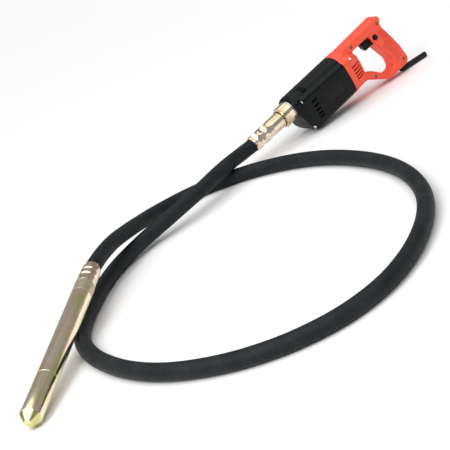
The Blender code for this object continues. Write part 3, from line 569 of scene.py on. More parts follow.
def softened(obj, voxel, rounds, keep):
    """Moulded rounding of every edge: an even remesh, a light smoothing, and a thinning that keeps the
    given share of the faces."""
    remesh = obj.modifiers.new("even", "REMESH")
    remesh.mode = "VOXEL"
    remesh.voxel_size = voxel * MM
    relax = obj.modifiers.new("relax", "SMOOTH")
    relax.factor = 0.5
    relax.iterations = rounds
    thin = obj.modifiers.new("thin", "DECIMATE")
    thin.ratio = keep
    return mesh_of(obj)


def ridge(name, lines, radius, look, matrix, slot):
    """Raised lines on a face: each line is a list of points in millimetres in the piece's frame."""
    curve = bpy.data.curves.new(name, "CURVE")
    curve.dimensions = "3D"
    curve.bevel_depth = radius * MM
    curve.bevel_resolution = 3
    curve.use_fill_caps = True
    for line in lines:
        add_line(curve, [point * MM for point in smooth_line(line)])
    obj = mesh_of(linked(name, curve))
    obj.data.materials.append(LOOKS[look])
    finish_piece(obj, matrix, slot)


def smooth_line(points, each=5):
    """A centripetal Catmull-Rom curve through the given points. each is how many points a stretch gets."""
    nodes = [Vector(p) for p in points]
    nodes = [nodes[0] * 2 - nodes[1]] + nodes + [nodes[-1] * 2 - nodes[-2]]
    found = []
    for i in range(1, len(nodes) - 2):
        a, b, c, d = nodes[i - 1:i + 3]
        ab, bc, cd = ((b - a).length ** 0.5, (c - b).length ** 0.5, (d - c).length ** 0.5)
        leave = c - b + bc * ((b - a) / ab - (c - a) / (ab + bc))
        arrive = c - b + bc * ((d - c) / cd - (d - b) / (bc + cd))
        for step in range(each):
            t = step / each
            found.append((2 * t**3 - 3 * t**2 + 1) * b + (t**3 - 2 * t**2 + t) * leave
                         + (3 * t**2 - 2 * t**3) * c + (t**3 - t**2) * arrive)
    found.append(nodes[-2])
    return found


# -------------------- hose

HOSE_ROUTE = [
    (0.1331, 0.2104, 0.0414), (0.1091, 0.2047, 0.0415), (0.0841, 0.1947, 0.0430),
    (0.0511, 0.1822, 0.0434), (-0.0147, 0.1605, 0.0403), (-0.0872, 0.1563, 0.0313),
    (-0.1598, 0.1569, 0.0207), (-0.2294, 0.1360, 0.0148), (-0.2884, 0.0925, 0.0141),
    (-0.3402, 0.0405, 0.0141), (-0.3875, -0.0157, 0.0141), (-0.4251, -0.0786, 0.0141),
    (-0.4456, -0.1489, 0.0141), (-0.4527, -0.2220, 0.0141), (-0.4491, -0.2953, 0.0141),
    (-0.4332, -0.3669, 0.0141), (-0.4034, -0.4339, 0.0141), (-0.3604, -0.4932, 0.0141),
    (-0.3036, -0.5393, 0.0141), (-0.2352, -0.5652, 0.0141), (-0.1622, -0.5649, 0.0141),
    (-0.0929, -0.5412, 0.0141), (-0.0304, -0.5029, 0.0141), (0.0253, -0.4551, 0.0141),
    (0.0730, -0.3993, 0.0141), (0.1113, -0.3367, 0.0141), (0.1407, -0.2695, 0.0141),
    (0.1608, -0.1989, 0.0141), (0.1717, -0.1263, 0.0141), (0.1742, -0.0529, 0.0141),
    (0.1674, 0.0202, 0.0141), (0.1481, 0.0909, 0.0141), (0.1153, 0.1565, 0.0141),
    (0.0689, 0.2132, 0.0141), (0.0075, 0.2525, 0.0146), (-0.0642, 0.2520, 0.0212),
    (-0.1252, 0.2141, 0.0346), (-0.1782, 0.1656, 0.0497), (-0.2314, 0.1166, 0.0625),
    (-0.2760, 0.0768, 0.0668),
]
RINGS_APART = 0.004
HOSE_SIDES = 28


def hose_path():
    """The middle of the hose, from inside the ferrule to inside the collar, and where it leaves the
    ferrule."""
    tool_x = TOOL.to_3x3() @ Vector((1, 0, 0))
    head_x = HEAD.to_3x3() @ Vector((1, 0, 0))
    start = TOOL_AT + tool_x * (FERRULE_END * MM)
    end = HEAD_AT + head_x * (COLLAR_END * MM)
    knots = [start - tool_x * 3 * MM] + [Vector(p) for p in HOSE_ROUTE] + [end + head_x * 3 * MM]
    line = spaced(smooth_line(knots, 24), RINGS_APART)
    return [start + tool_x * HOSE_INSIDE] + line + [end - head_x * HOSE_INSIDE], start


def make_hose():
    """A tube along the path. Its UV map holds the run in metres and the share of a turn."""
    path, start = hose_path()
    shape = bmesh.new()
    layer = shape.loops.layers.uv.new("run")
    rings = []
    run = [0.0]
    for i, point in enumerate(path):
        tangent = (path[min(i + 1, len(path) - 1)] - path[max(i - 1, 0)]).normalized()
        side = tangent.cross(Vector((0, 0, 1))).normalized()
        up = side.cross(tangent)
        if i:
            run.append(run[-1] + (point - path[i - 1]).length)
        rings.append([shape.verts.new(p) for p in circle(point, side, up, HOSE_R, HOSE_SIDES)])
    for i in range(len(rings) - 1):
        for j in range(HOSE_SIDES):
            k = (j + 1) % HOSE_SIDES
            face = shape.faces.new((rings[i][j], rings[i][k], rings[i + 1][k], rings[i + 1][j]))
            corners = ((i, j), (i, j + 1), (i + 1, j + 1), (i + 1, j))
            for loop, (m, n) in zip(face.loops, corners):
                loop[layer].uv = (run[m], n / HOSE_SIDES)
    shape.faces.new(rings[0])
    shape.faces.new(rings[-1])
    obj = to_object("rubber_hose", shape, "hose")
    finish_piece(obj, Matrix.Identity(4), "black_rubber", "hose", degrees=60)


def circle(centre, side, up, radius, steps):
    """Points on a circle in the plane of side and up, from side towards up."""
    angles = [2 * math.pi * j / steps for j in range(steps)]
    return [centre + (side * math.cos(a) + up * math.sin(a)) * radius for a in angles]


def skin(name, rings, look):
    """A closed skin over rings of points, with flat ends."""
    shape = bmesh.new()
    rows = [[shape.verts.new(point) for point in ring] for ring in rings]
    for one, two in zip(rows, rows[1:]):
        for i in range(len(one)):
            j = (i + 1) % len(one)
            shape.faces.new((one[i], one[j], two[j], two[i]))
    shape.faces.new(rows[0])
    shape.faces.new(rows[-1])
    return to_object(name, shape, look)


def spaced(points, gap):
    """The same line with its points a gap apart."""
    path = [points[0]]
    left = gap
    for one, two in zip(points, points[1:]):
        span = (two - one).length
        while left <= span:
            path.append(one.lerp(two, left / span))
            left += gap
        left -= span
    if (points[-1] - path[-1]).length < gap / 2:
        path.pop()
    return path + [points[-1]]


# -------------------- poker head

# The cone, which is in front of this, has a look of its own.
CONE_END = 14.0


def make_nose():
    """The cone with its flat tip and centre mark, and the straight stretch behind it."""
    profile = [(0, 1.2), (1.3, 1.15), (1.6, 0.35), (2.1, 0.05), (6.5, 0), (6.9, 0.25), (17.3, 13.4),
               (HEAD_R, 14.6), (HEAD_R, 70), (HEAD_R, NOSE_END - 0.7), (17.3, NOSE_END - 0.15),
               (13.0, NOSE_END - 0.15), (13.0, 40), (0, 40)]
    piece = lathe("poker_nose", in_metres(profile), "yellow_zinc")
    piece.data.materials.append(LOOKS["tip"])
    for face in piece.data.polygons:
        if face.center.x < CONE_END * MM:
            face.material_index = 1
    finish_piece(piece, HEAD, "yellow_zinc", "head_nose", degrees=30)


def make_tube():
    profile = [(HEAD_R - 0.45, NOSE_END + 0.15), (HEAD_R, NOSE_END + 0.7), (HEAD_R, 200),
               (HEAD_R, TUBE_END - 0.6), (HEAD_R - 0.4, TUBE_END - 0.1), (14.2, TUBE_END - 0.1),
               (14.2, NOSE_END + 0.15)]
    piece = lathe("poker_tube", in_metres(profile), "yellow_zinc")
    finish_piece(piece, HEAD, "yellow_zinc", "head_tube", degrees=30)


def make_coupler():
    profile = [(17.2, TUBE_END + 0.2), (17.55, TUBE_END + 0.7), (17.6, 347), (17.5, COUPLER_END - 0.6),
               (17.1, COUPLER_END - 0.1), (12.6, COUPLER_END - 0.1), (12.6, TUBE_END + 0.2)]
    piece = lathe("poker_coupler", in_metres(profile), "band")
    finish_piece(piece, HEAD, "yellow_zinc", "head_coupler", degrees=30)


def make_collar():
    """Three bands and two grooves, pressed on the end of the hose."""
    profile = [(17.4, COUPLER_END + 0.2, 0.5), (17.1, 368, 4), (16.9, 377, 2.2), (15.2, 379.6, 1.6),
               (15.2, 381.6, 1.6), (16.9, 384, 2.2), (16.7, 392.6, 2.2), (15.1, 395.2, 1.6),
               (15.1, 397.2, 1.6), (16.6, 399.6, 2.2), (16.3, 408, 4), (15.0, COLLAR_END - 0.4, 0.4),
               (14.25, COLLAR_END, 0), (14.25, 401.7, 0), (9, 401.7, 0), (9, COUPLER_END + 0.2, 0)]
    piece = lathe("poker_collar", fillet(profile), "nut")
    finish_piece(piece, HEAD, "yellow_zinc", "head_collar", degrees=40)


def make_locking_pin():
    """The flattened head of a pin near the end of the tube, on its near side."""
    pin_at, pin_turn, pin_r, flatness = 325, math.radians(28), 1.0, 0.45
    shape = bmesh.new()
    bmesh.ops.create_uvsphere(shape, u_segments=20, v_segments=12, radius=pin_r * MM)
    for vert in shape.verts:
        vert.co.z *= flatness
    pin = to_object("locking_pin", shape, "laminated_iron")
    side = Vector((0, -math.cos(pin_turn), math.sin(pin_turn)))
    at = Vector((pin_at * MM, 0, 0)) + side * HEAD_R * MM
    outwards = side.to_track_quat("Z", "Y").to_matrix().to_4x4()
    finish_piece(pin, HEAD @ Matrix.Translation(at) @ outwards, "bright_steel")


# -------------------- nut, washer and ferrule

# Six shallow flats on the nut: how far they are from the axis, where they run, and how they fade out.
FLAT_R = 21.35
FLATS_BACK = -4.2
FLATS_FRONT = -27.6
FLAT_FADE = 1.2
SIXTH = math.pi / 3


def make_nut():
    profile = [(20.0, NUT_BACK, 0.3), (21.6, NUT_BACK, 1.0), (22.2, -4.6, 0.8), (22.2, -27.2, 1.2),
               (21.2, NUT_FRONT, 0.6), (18.6, NUT_FRONT, 0.5), (18.4, -25.5, 0), (19.9, -25.5, 0)]

    def flats(r, x, angle):
        at = x / MM
        if r < 21 * MM or not FLATS_FRONT < at < FLATS_BACK:
            return r
        reach = FLAT_R * MM / math.cos((angle + SIXTH / 2) % SIXTH - SIXTH / 2)
        share = min(min(FLATS_BACK - at, at - FLATS_FRONT) / FLAT_FADE, 1.0)
        return r + (min(reach, r) - r) * share

    piece = lathe("union_nut", fillet(profile, 3), "nut", 180, 1.2 * MM, flats)
    finish_piece(piece, TOOL, "yellow_zinc", "coupling_nut", body="nut", degrees=25)
    washer = [(15.9, -0.3, 0), (20.9, -0.3, 0.4), (20.9, -2.6, 0.6), (15.9, -2.6, 0)]
    piece = lathe("nose_ring", fillet(washer, 3), "white_zinc")
    finish_piece(piece, TOOL, "bright_steel", "nose_washer", degrees=40)


# The rows of dents in the ferrule: where each is, and how far it is turned, as a share of their pitch.
CRIMP_ROWS = [(-66.5, 0.0), (-79.0, 0.5), (-91.5, 0.0), (-103.5, 0.5)]
CRIMPS_ROUND = 4
CRIMP_DEPTH = 1.5


def make_ferrule():
    """The sleeve that is pressed on the hose, with a stepped end at the nut and rows of wide dents."""
    profile = [(19.3, -20.5, 0.3), (19.3, -25.1, 0.5), (16.9, -25.1, 0.4), (16.8, -60, 3), (16.8, -98, 3),
               (16.8, -107, 2), (15.3, FERRULE_END + 0.2, 0.8), (14.3, FERRULE_END + 0.2, 0),
               (14.3, -95.2, 0), (8, -95.2, 0), (8, -20.5, 0)]

    def crimped(r, x, angle):
        if r < 15.0 * MM:
            return r
        deep = 0.0
        for middle, shift in CRIMP_ROWS:
            wave = math.cos(angle * CRIMPS_ROUND + (shift + 0.15) * 2 * math.pi)
            away = min(abs(x / MM - middle) / (5.2 + 3.4 * wave), 1.0)
            deep = max(deep, (1 - away ** 1.5) * (0.85 + 0.55 * wave))
        return r - CRIMP_DEPTH * MM * deep

    piece = lathe("crimped_ferrule", fillet(profile, 3), "nut", 160, 1.0 * MM, crimped)
    finish_piece(piece, TOOL, "yellow_zinc", "hose_ferrule", degrees=35)


# -------------------- motor housing

# Half of the cross-section, bottom to top: y, z, and how much of the shoulder's rise a point takes.
SECTION = [
    (0, -69.6, 0), (6, -68.2, 0), (14, -63.7, 0), (22, -59.8, 0), (28, -57.0, 0), (31.8, -54.3, 0),
    (33.6, -48.7, 0), (36.2, -36.2, 0), (37.6, -24, 0), (38, -12, 0), (37.9, -1.7, 0.5), (37.5, 4.5, 1),
    (36.1, 8.1, 1), (33, 10.4, 1), (29.4, 12.3, 1), (27, 15, 0.35), (25.4, 17.8, 0), (22.6, 20.8, 0),
    (17.9, 23.6, 0), (12.5, 25.7, 0), (8, 26.9, 0), (0, 26.9, 0)]


PINCH_TOP = -5.0
PINCH_FADE = 30.0


def section_half(rise, pinch):
    """The right half of the section in millimetres, with a soft line drawn through its points. Below
    PINCH_TOP it is narrowed, to pinch of its width from PINCH_FADE further down."""
    knots = []
    for y, z, share in SECTION:
        low = min(max((PINCH_TOP - z) / PINCH_FADE, 0.0), 1.0)
        knots.append(Vector((0, y * (1 - low * (1 - pinch)), z + rise * share)))
    line = [(max(point.y, 0.0), point.z) for point in smooth_line(knots, 3)]
    return [(0.0, line[0][1])] + line[1:-1] + [(0.0, line[-1][1])]


def section_ring(x, rise=0.0, scale=1.0, pinch=1.0):
    """The section at a station, closing in towards DOME_CENTRE where scale is below one."""
    half = [(y * scale, z * scale + DOME_CENTRE * (1 - scale)) for y, z in section_half(rise, pinch)]
    points = half + [(-y, z) for y, z in reversed(half[1:-1])]
    return [Vector((x, y, z)) * MM for y, z in points]


def side_slots(low, high, heights, reach, tall=3.0):
    """Slots of constant height through both sides of the barrel, down to y = reach."""
    outer = BARREL_HALF + 8
    middle, depth = (outer + reach) / 2, outer - reach
    return [(((low + high) / 2, side * middle, z), (high - low, depth, tall), 0)
            for side in (-1, 1) for z in heights]


# Where the nose screws' heads sit: two on the shoulders, and two in pockets below the spindle.
NOSE_SCREWS = [(14.0, -33.5, 7.7), (14.0, 33.5, 7.7), (11.5, -30.0, -50.6), (11.5, 30.0, -50.6)]
# The front of the housing narrows below: each station, and the share of the keel's width there.
CHIN = [(-1, 0.70), (4, 0.82), (9, 0.91), (15, 0.97), (23, 1.0), (40, 1.0)]
SHOULDER_RISE = 3.0
FRONT_VENTS = (-5.3, -15.8, -25.6, -34.6, -42)
REAR_VENTS = (-11.2, -18.5, -25.6, -32.2, -38.4)
VENT_ROUND = 0.5
VENT_REACH = 25
POCKET_R = 4.3
MOUTH_R = 15.8


def housing_form():
    """The barrel with its keel and spine, trimmed to the outlines of its side and its plan."""
    rings = [section_ring(x, SHOULDER_RISE, pinch=pinch) for x, pinch in CHIN]
    obj = skin("black_housing", rings + [section_ring(HOUSING_LENGTH)], "black_plastic")
    side = fillet([(0, 27.3, 14), (135, 27.3, 0), (135, -68.8, 0), (26, -68.8, 20), (14.5, -58.5, 25),
                   (5, -44, 30), (0, -22, 40)], 14)
    plan = fillet([(-0.5, -38.4, 16), (140, -38.6, 0), (140, 38.6, 0), (-0.5, 38.4, 16)], 12)
    side = plate("side_tool", side, 100, SIDE_VIEW)
    plan = plate("plan_tool", plan, 220, Matrix.Identity(4))
    return combine(obj, "INTERSECT", side, plan)


def housing_openings():
    """The motor's bore, the spindle's mouth, the room in the spine, the vents and the screw pockets."""
    top = [((36.5, y, 24), (12, 2.8, 12), 0) for y in (-17.3, -10.8, 10.8, 17.3)]
    top += [((36.5, y, 18.7), (12, 14, 4.6), 0) for y in (-27.2, 27.2)]
    tools = [rod("bore", BORE_R, 18.3, 136, (0, 0, -MOTOR_DROP), steps=64),
             rod("mouth", MOUTH_R, -1, 19, steps=48),
             boxes("room", [((82, 0, 12), (106, 34, 16), 0)]),
             boxes("vents", side_slots(30, 43, FRONT_VENTS, VENT_REACH, 3.6), VENT_ROUND),
             boxes("top_vents", top, VENT_ROUND)]
    for i, (x, y, z) in enumerate(NOSE_SCREWS):
        tools.append(rod(f"pocket_{i}", POCKET_R, -1, x, (0, y, z)))
    return tools


def make_housing():
    obj = combine(housing_form(), "DIFFERENCE", *housing_openings())
    recesses = [((9.8, math.copysign(36.3, y), z + 8), (7.6, 15.2, 14.2), 0) for _, y, z in NOSE_SCREWS[:2]]
    obj = combine(obj, "DIFFERENCE", boxes("recesses", recesses, 0.5))
    obj = softened(obj, 0.7, 5, 0.3)
    recolour(obj, "black_plastic")
    finish_piece(obj, TOOL, "black_plastic", "motor_housing", degrees=50)
    make_pad()


def barrel_side(z):
    """Half the width of the barrel at a height on its flat side."""
    for (y1, z1, _), (y2, z2, _) in zip(SECTION, SECTION[1:]):
        if z1 <= z <= z2:
            return y1 + (y2 - y1) * (z - z1) / (z2 - z1)
    return BARREL_HALF


PAD_START = 62
PAD_END = 116
PAD_TOP = -13
PAD_FOOT = -37
PAD_THICK = 0.8
PAD_RIM = 0.9
PAD_GROOVE = (1.8, 3.2)
PAD_GROOVE_DEPTH = 0.35


def pad_lift(x, z):
    """How far the pad stands off the barrel: it slopes at its rim and has a groove inside that."""
    border = min(x - PAD_START, PAD_END - x, PAD_TOP - z, z - PAD_FOOT)
    if border <= PAD_RIM:
        return PAD_THICK * max(border, 0) / PAD_RIM - 0.25
    if PAD_GROOVE[0] < border < PAD_GROOVE[1]:
        return PAD_THICK - PAD_GROOVE_DEPTH
    return PAD_THICK


def make_pad():
    """The blank pad on the near side of the barrel, with a thin frame, on a grid of millimetres."""
    shape = bmesh.new()
    rows = []
    for x in range(PAD_START, PAD_END + 1):
        spots = [Vector((x, -barrel_side(z) - pad_lift(x, z), z)) for z in range(PAD_TOP, PAD_FOOT - 1, -1)]
        rows.append([shape.verts.new(spot * MM) for spot in spots])
    for one, two in zip(rows, rows[1:]):
        for j in range(len(one) - 1):
            shape.faces.new((one[j], two[j], two[j + 1], one[j + 1]))
    bmesh.ops.solidify(shape, geom=shape.faces[:], thickness=PAD_THICK * MM)
    obj = to_object("blank_pad", shape, "pad")
    finish_piece(obj, TOOL, "black_plastic")


# Where each handle screw is, and how far out the left face is there. The last is on the wide rear body.
HANDLE_SCREWS = [(263, 14.5, GRIP_HALF), (183, 14.5, GRIP_HALF), (275, -83, GRIP_HALF),
                 (197, -69, GRIP_HALF), (156, 6, 36.5)]
SCREW_SUNK = 3.3


def make_screws():
    for i, (x, y, z) in enumerate(NOSE_SCREWS, 1):
        spot = Matrix.Translation(Vector((x - GAP, y, z)) * MM) @ Matrix.Rotation(math.pi, 4, "Z")
        make_screw(f"nose_screw_{i}", f"nose_cap_{i}", TOOL @ spot, 3.3, "white_zinc")
    for i, (x, z, face) in enumerate(HANDLE_SCREWS, 1):
        spot = Matrix.Translation(Vector((x, -face + SCREW_SUNK, z)) * MM)
        spot = spot @ Matrix.Rotation(-math.pi / 2, 4, "Z")
        look = "white_zinc" if face > GRIP_HALF else "dark_steel"
        make_screw(f"handle_screw_{i}", f"handle_cap_{i}", TOOL @ spot, 3.1, look)


def make_screw(node, name, matrix, radius, look):
    """A pan head with a cross recess, its top along +X from the seat, and its shank."""
    rim, top, width, end, shank_r = 1.6, 2.1, 0.8, -6, 1.55
    profile = [(0, 0, 0), (radius, 0, 0.1), (radius, rim, 0.5), (radius * 0.8, top, 0.4), (0, top, 0)]
    head = lathe(name, fillet(profile, 3), look, 32)
    cross = boxes("cross", [((top, 0, 0), (2.0, radius * 1.15, width), 0),
                            ((top, 0, 0), (2.0, width, radius * 1.15), 0)])
    head = combine(head, "DIFFERENCE", cross)
    profile = [(0, end), (shank_r, end), (shank_r, -0.05), (0, -0.05)]
    shank = lathe(name + "_shank", in_metres(profile), look, 20)
    finish_piece(head, matrix, "bright_steel", node)
    finish_piece(shank, matrix, "bright_steel")


# -------------------- handle

BUTTON_AT = (242, -4.5)
CORD_X = 266.0
SEAM_HALF = 0.12
REAR_START = HOUSING_LENGTH + GAP


def handle_outline():
    return fillet([(136, 24.1, 0), (281.5, 27.8, 7.5), (269.8, 8, 6), (270.5, -1, 15), (277.9, -26, 60),
                   (285, -56, 60), (287.6, -96.2, 13), (224, -96.2, 10), (177.5, -63.2, 14),
                   (136, -62, 0)], 8)


def window_outline():
    return fillet([(180, 5, 5), (231, 5, 6), (236, -20, 30), (251, -62, 12), (249, -84, 11),
                   (226, -84, 10), (198, -56, 14), (180, -45, 6)], 8)


def rear_body():
    """The barrel's section carried on behind the housing, closing in as a dome."""
    steps, last = 14, math.radians(86)
    rings = [section_ring(REAR_START)]
    for step in range(steps + 1):
        turn = last * step / steps
        x = DOME_START + (BODY_END - DOME_START) * math.sin(turn)
        rings.append(section_ring(x, scale=math.cos(turn)))
    return skin("rear_body", rings, "black_plastic")


def handle_rooms():
    """What is hollow in the handle: the grip's inside, the end of the motor, and the wiring's room."""
    hollow = plate("hollow", moved_in(handle_outline(), WALL * MM), GRIP_THICK - 2 * WALL, SIDE_VIEW,
                   window=moved_in(window_outline(), -WALL * MM))
    dome = [(0, 178), (14, 176), (24, 169), (31, 159), (BORE_R, 150), (BORE_R, REAR_START - 1),
            (0, REAR_START - 1)]
    room = lathe("room", in_metres(dome), "orange_plastic", 64)
    room.data.transform(Matrix.Translation((0, 0, -MOTOR_DROP * MM)))
    return [hollow, room, boxes("wiring", [((192, 0, 12.5), (120, 26, 17), 0)])]


def handle_bosses():
    bosses = []
    for i, (x, z, face) in enumerate(HANDLE_SCREWS, 1):
        end = face - (5.0 if face > GRIP_HALF else 1.5)
        bosses.append(rod(f"boss_{i}", 4.6, -end, end, (x, 0, z), "Y"))
    return bosses


def handle_openings():
    """Room for the trigger, the lock button and the cord, the rear vents, and the screws' holes."""
    button_x, button_z = BUTTON_AT
    tools = [boxes("trigger_room", [((235, 0, -7.5), (26, 17, 19), 0)]),
             rod("button_room", 5.8, 8, 30, (button_x, 0, button_z), "Y"),
             rod("cord_room", 6.4, -105, -88, (CORD_X, 0, 0), "Z"),
             boxes("rear_vents", side_slots(147, 171, REAR_VENTS, 15), VENT_ROUND)]
    for i, (x, z, face) in enumerate(HANDLE_SCREWS, 1):
        tools.append(rod(f"hole_{i}", 1.9, -9, face + 1, (x, 0, z), "Y"))
        tools.append(rod(f"seat_{i}", 3.6, face - 3.6, 50, (x, 0, z), "Y"))
    return tools


def make_handle(side, name, node):
    """One half of the clamshell. side is -1 on the left, where the screws go in."""
    obj = plate(name, handle_outline(), GRIP_THICK, SIDE_VIEW, window=window_outline(), edge=GRIP_EDGE * MM)
    obj = combine(obj, "UNION", rear_body())
    obj = combine(obj, "DIFFERENCE", *handle_rooms())
    obj = combine(obj, "UNION", *handle_bosses())
    obj = combine(obj, "DIFFERENCE", *handle_openings())
    half = boxes("half", [((210, side * (50 + SEAM_HALF), -30), (240, 100, 200), 0)])
    obj = combine(obj, "INTERSECT", half)
    obj = softened(obj, 0.8, 4, 0.35)
    recolour(obj, "orange_plastic")
    finish_piece(obj, TOOL, "orange_plastic", node, degrees=50)


# The wavy ridges on the grip and the lines of the panel behind the trigger, as points of x and z.


GRIP_LINES = [
    [(269, -27), (263, -25), (258, -24.5), (255, -27), (252.5, -31), (247, -32.5), (241, -33)],
    [(270, -31.5), (263, -29.5), (259, -30), (256.5, -35), (251.5, -37), (245, -38), (241, -38)],
    [(271, -36), (264.5, -35), (261, -37), (259, -41.5), (254.5, -43.5), (243, -44)],
    [(272, -41), (265, -41), (261.5, -46), (256, -49.5), (244.5, -50)],
    [(273, -46), (267, -48), (262.5, -54), (256, -55.8), (246, -56)],
    [(274, -51.5), (269, -54), (264.5, -60), (256, -62), (248, -62)],
    [(275, -57), (270.5, -60.5), (266.5, -66.5), (259, -68.5), (249.5, -68.5)],
    [(276, -63), (273, -68), (267, -73), (259, -74.8), (251, -75)],
]
PANEL_LINES = [
    [(255.5, 5), (254.5, 0), (255.3, -10), (257.3, -18.5), (264, -20.5), (270, -22)],
    [(258.5, 3), (257.8, -1), (258.6, -11), (260.6, -16.5), (266, -18), (271, -19.3)],
    [(262, 0), (261.3, -4), (262, -11), (264, -14), (268, -15), (272, -16)],
    [(265.5, -3), (265.2, -7), (266, -10.5), (269, -11.6), (272.5, -12.4)],
]


def outline_gap(x, z, outline):
    """Distance in millimetres from a point to a closed outline."""
    here = Vector((x, z))
    best = math.inf
    for one, two in zip(outline, outline[1:] + outline[:1]):
        a, b = Vector(one) / MM, Vector(two) / MM
        along = b - a
        share = min(max((here - a).dot(along) / max(along.length_squared, 1e-9), 0.0), 1.0)
        best = min(best, (a + along * share - here).length)
    return best


def grip_surface(x, z):
    """How far out the grip's skin is at a point of its side, with the round of its edges."""
    gap = min(outline_gap(x, z, window_outline()), outline_gap(x, z, handle_outline()))
    if gap >= GRIP_EDGE:
        return GRIP_HALF
    return GRIP_HALF - GRIP_EDGE + math.sqrt(GRIP_EDGE**2 - (GRIP_EDGE - gap)**2)


LINE_STOP = 4.6
LINE_LIFT = 0.05


def make_grip_lines():
    """Raised lines on both sides of the handle. They stop LINE_STOP short of the window's edge."""
    for lines, radius, part in ((GRIP_LINES, 0.75, "grip"), (PANEL_LINES, 0.65, "panel")):
        drawn = []
        for line in lines:
            soft = smooth_line([Vector((x, 0, z)) for x, z in line], 4)
            soft = [p for p in soft if outline_gap(p.x, p.z, window_outline()) > LINE_STOP]
            drawn.append([(p.x, grip_surface(p.x, p.z) + LINE_LIFT, p.z) for p in soft])
        for side, name in ((-1, "left"), (1, "right")):
            sided = [[(x, side * y, z) for x, y, z in line] for line in drawn]
            # The lines take orange_line, a darker red that is painted shade of the grooves they stand for.
            ridge(f"{part}_lines_{name}", sided, radius, "orange_line", TOOL, "orange_plastic")


def make_controls():
    """The squeeze trigger in the window, and the round lock button on the left of the handle."""
    outline = fillet([(211, 0.5, 3), (226, 1.5, 6), (240, 1.5, 0.6), (240, -16.5, 0.6), (226, -16.5, 6),
                      (214, -14.5, 4)], 6)
    trigger = plate("squeeze_trigger", outline, 16, SIDE_VIEW, edge=1.6 * MM)
    recolour(trigger, "black_plastic")
    finish_piece(trigger, TOOL, "black_plastic", "trigger", body="trigger", degrees=40)
    button = fillet([(0, 13.4, 0), (5.3, 13.4, 0.1), (5.3, 20.2, 0.9), (4.1, 20.6, 0.3), (3.2, 20.1, 0.6),
                     (0, 20.0, 0)])
    piece = lathe("lock_cap", button, "black_plastic", 48)
    x, z = BUTTON_AT
    at = TOOL @ Matrix.Translation(Vector((x, 0, z)) * MM) @ Matrix.Rotation(-math.pi / 2, 4, "Z")
    finish_piece(piece, at, "black_plastic", "lock_button", body="lock_button", degrees=40)


SLEEVE_TOP = -96.8
SLEEVE_R = 5.75
SLEEVE_MOST_R = 5.9
SLEEVE_SIDES = 32
RIB_PITCH = 3.6
RIB_HEIGHT = 0.25
RIBS_END = 42
SLEEVE_STEP = 0.8
# The straight stretch on the floor, as distances from the bend, and the hollow of its open end.
SLEEVE_RUN = (2, 4, 6, 8, 10, 12, 14, 17, 20, 24, 30, 40, 50, 60, 63, 64)
SLEEVE_HOLLOW = ((0.0, 4.2), (6.0, 4.0))


def sleeve_path(along):
    """Down out of the handle, round a bend, and then along the floor."""
    path = [Vector((CORD_X, 0, SLEEVE_TOP + 6)), Vector((CORD_X, 0, SLEEVE_TOP - 0.5))]
    path += [Vector((x, 0, z)) for x, z in arc((CORD_X + 8, SLEEVE_TOP - 0.5), 8, 180, 260, 14)]
    path += [path[-1] + along * d for d in SLEEVE_RUN]
    return spaced([p * MM for p in path], SLEEVE_STEP * MM)


def make_cord_sleeve():
    """The rubber sleeve: ribbed where it bends, plain where it lies on the floor, and open at its end."""
    along = Vector((math.cos(TILT), 0, -math.sin(TILT)))
    path = sleeve_path(along)
    side = Vector((0, 1, 0))
    rings = []
    for i, point in enumerate(path):
        tangent = (path[min(i + 1, len(path) - 1)] - path[max(i - 1, 0)]).normalized()
        run = i * SLEEVE_STEP
        rib = RIB_HEIGHT * math.sin(run * 2 * math.pi / RIB_PITCH) if run < RIBS_END else 0.0
        radius = min(SLEEVE_R + rib - 0.25 * min(run / 70, 1.0), SLEEVE_MOST_R) * MM
        rings.append(circle(point, side, side.cross(tangent), radius, SLEEVE_SIDES))
    for depth, radius in SLEEVE_HOLLOW:
        centre = path[-1] - along * depth * MM
        rings.append(circle(centre, side, side.cross(along), radius * MM, SLEEVE_SIDES))
    obj = skin("ribbed_sleeve", rings, "black_rubber")
    finish_piece(obj, TOOL, "black_rubber", "cord_sleeve", degrees=60)


# -------------------- stage

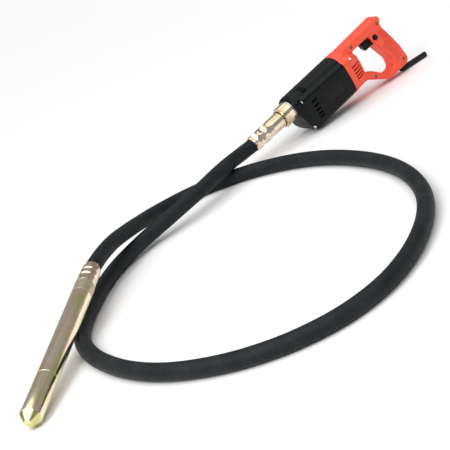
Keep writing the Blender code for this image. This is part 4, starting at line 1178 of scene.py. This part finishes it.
FLOOR_HALF = 8.0
WORLD_LIGHT = 0.32
DOME_LIGHT = 2.35
DOME_SPREAD = math.radians(95)
DOME_LEAN = (math.radians(8), math.radians(-16), 0)
KEY_AT = (-1.6, -0.9, 1.5)
KEY_AIM = (-0.1, 0, 0)
KEY_SIZE = (0.5, 1.6)
KEY_LIGHT = 15


def make_floor():
    shape = bmesh.new()
    bmesh.ops.create_grid(shape, x_segments=1, y_segments=1, size=FLOOR_HALF)
    look = Look("pale_floor", (0.93, 0.93, 0.93), 0.9)
    look.set("Specular IOR Level", 0.1)
    floor = plain_object("floor", shape)
    floor.data.materials.append(look.material)


def make_lights():
    """A white surround, a very soft light from above, and a tall panel on the near left."""
    world = bpy.context.scene.world or bpy.data.worlds.new("studio")
    bpy.context.scene.world = world
    world.use_nodes = True
    back = world.node_tree.nodes["Background"]
    back.inputs["Color"].default_value = (1, 1, 1, 1)
    back.inputs["Strength"].default_value = WORLD_LIGHT
    dome = bpy.data.lights.new("dome", "SUN")
    dome.energy = DOME_LIGHT
    dome.angle = DOME_SPREAD
    linked("dome", dome).rotation_euler = DOME_LEAN
    key = bpy.data.lights.new("key", "AREA")
    key.shape = "RECTANGLE"
    key.size, key.size_y = KEY_SIZE
    key.energy = KEY_LIGHT
    lamp = linked("key", key)
    lamp.location = KEY_AT
    lamp.rotation_euler = (Vector(KEY_AIM) - Vector(KEY_AT)).to_track_quat("-Z", "Y").to_euler()


def dress_nodes():
    """Every CAD node that stays visible gets the finish of its slot."""
    slots = {part["node"]: part["material_slot"] for part in frame["record"]["subparts"]}
    for name, node in frame["nodes"].items():
        look = LOOKS[slots[name]]
        for slot in node.material_slots:
            slot.material = look


bpy.context.scene.view_settings.view_transform = "Standard"
make_camera()
LOOKS = make_looks()
make_hose()
dress_nodes()
make_nose()
make_tube()
make_coupler()
make_collar()
make_locking_pin()
make_nut()
make_ferrule()
make_housing()
make_handle(-1, "handle_half_left", "handle_shell_left")
make_handle(1, "handle_half_right", "handle_shell_right")
make_grip_lines()
make_controls()
make_screws()
make_cord_sleeve()
make_floor()
make_lights()
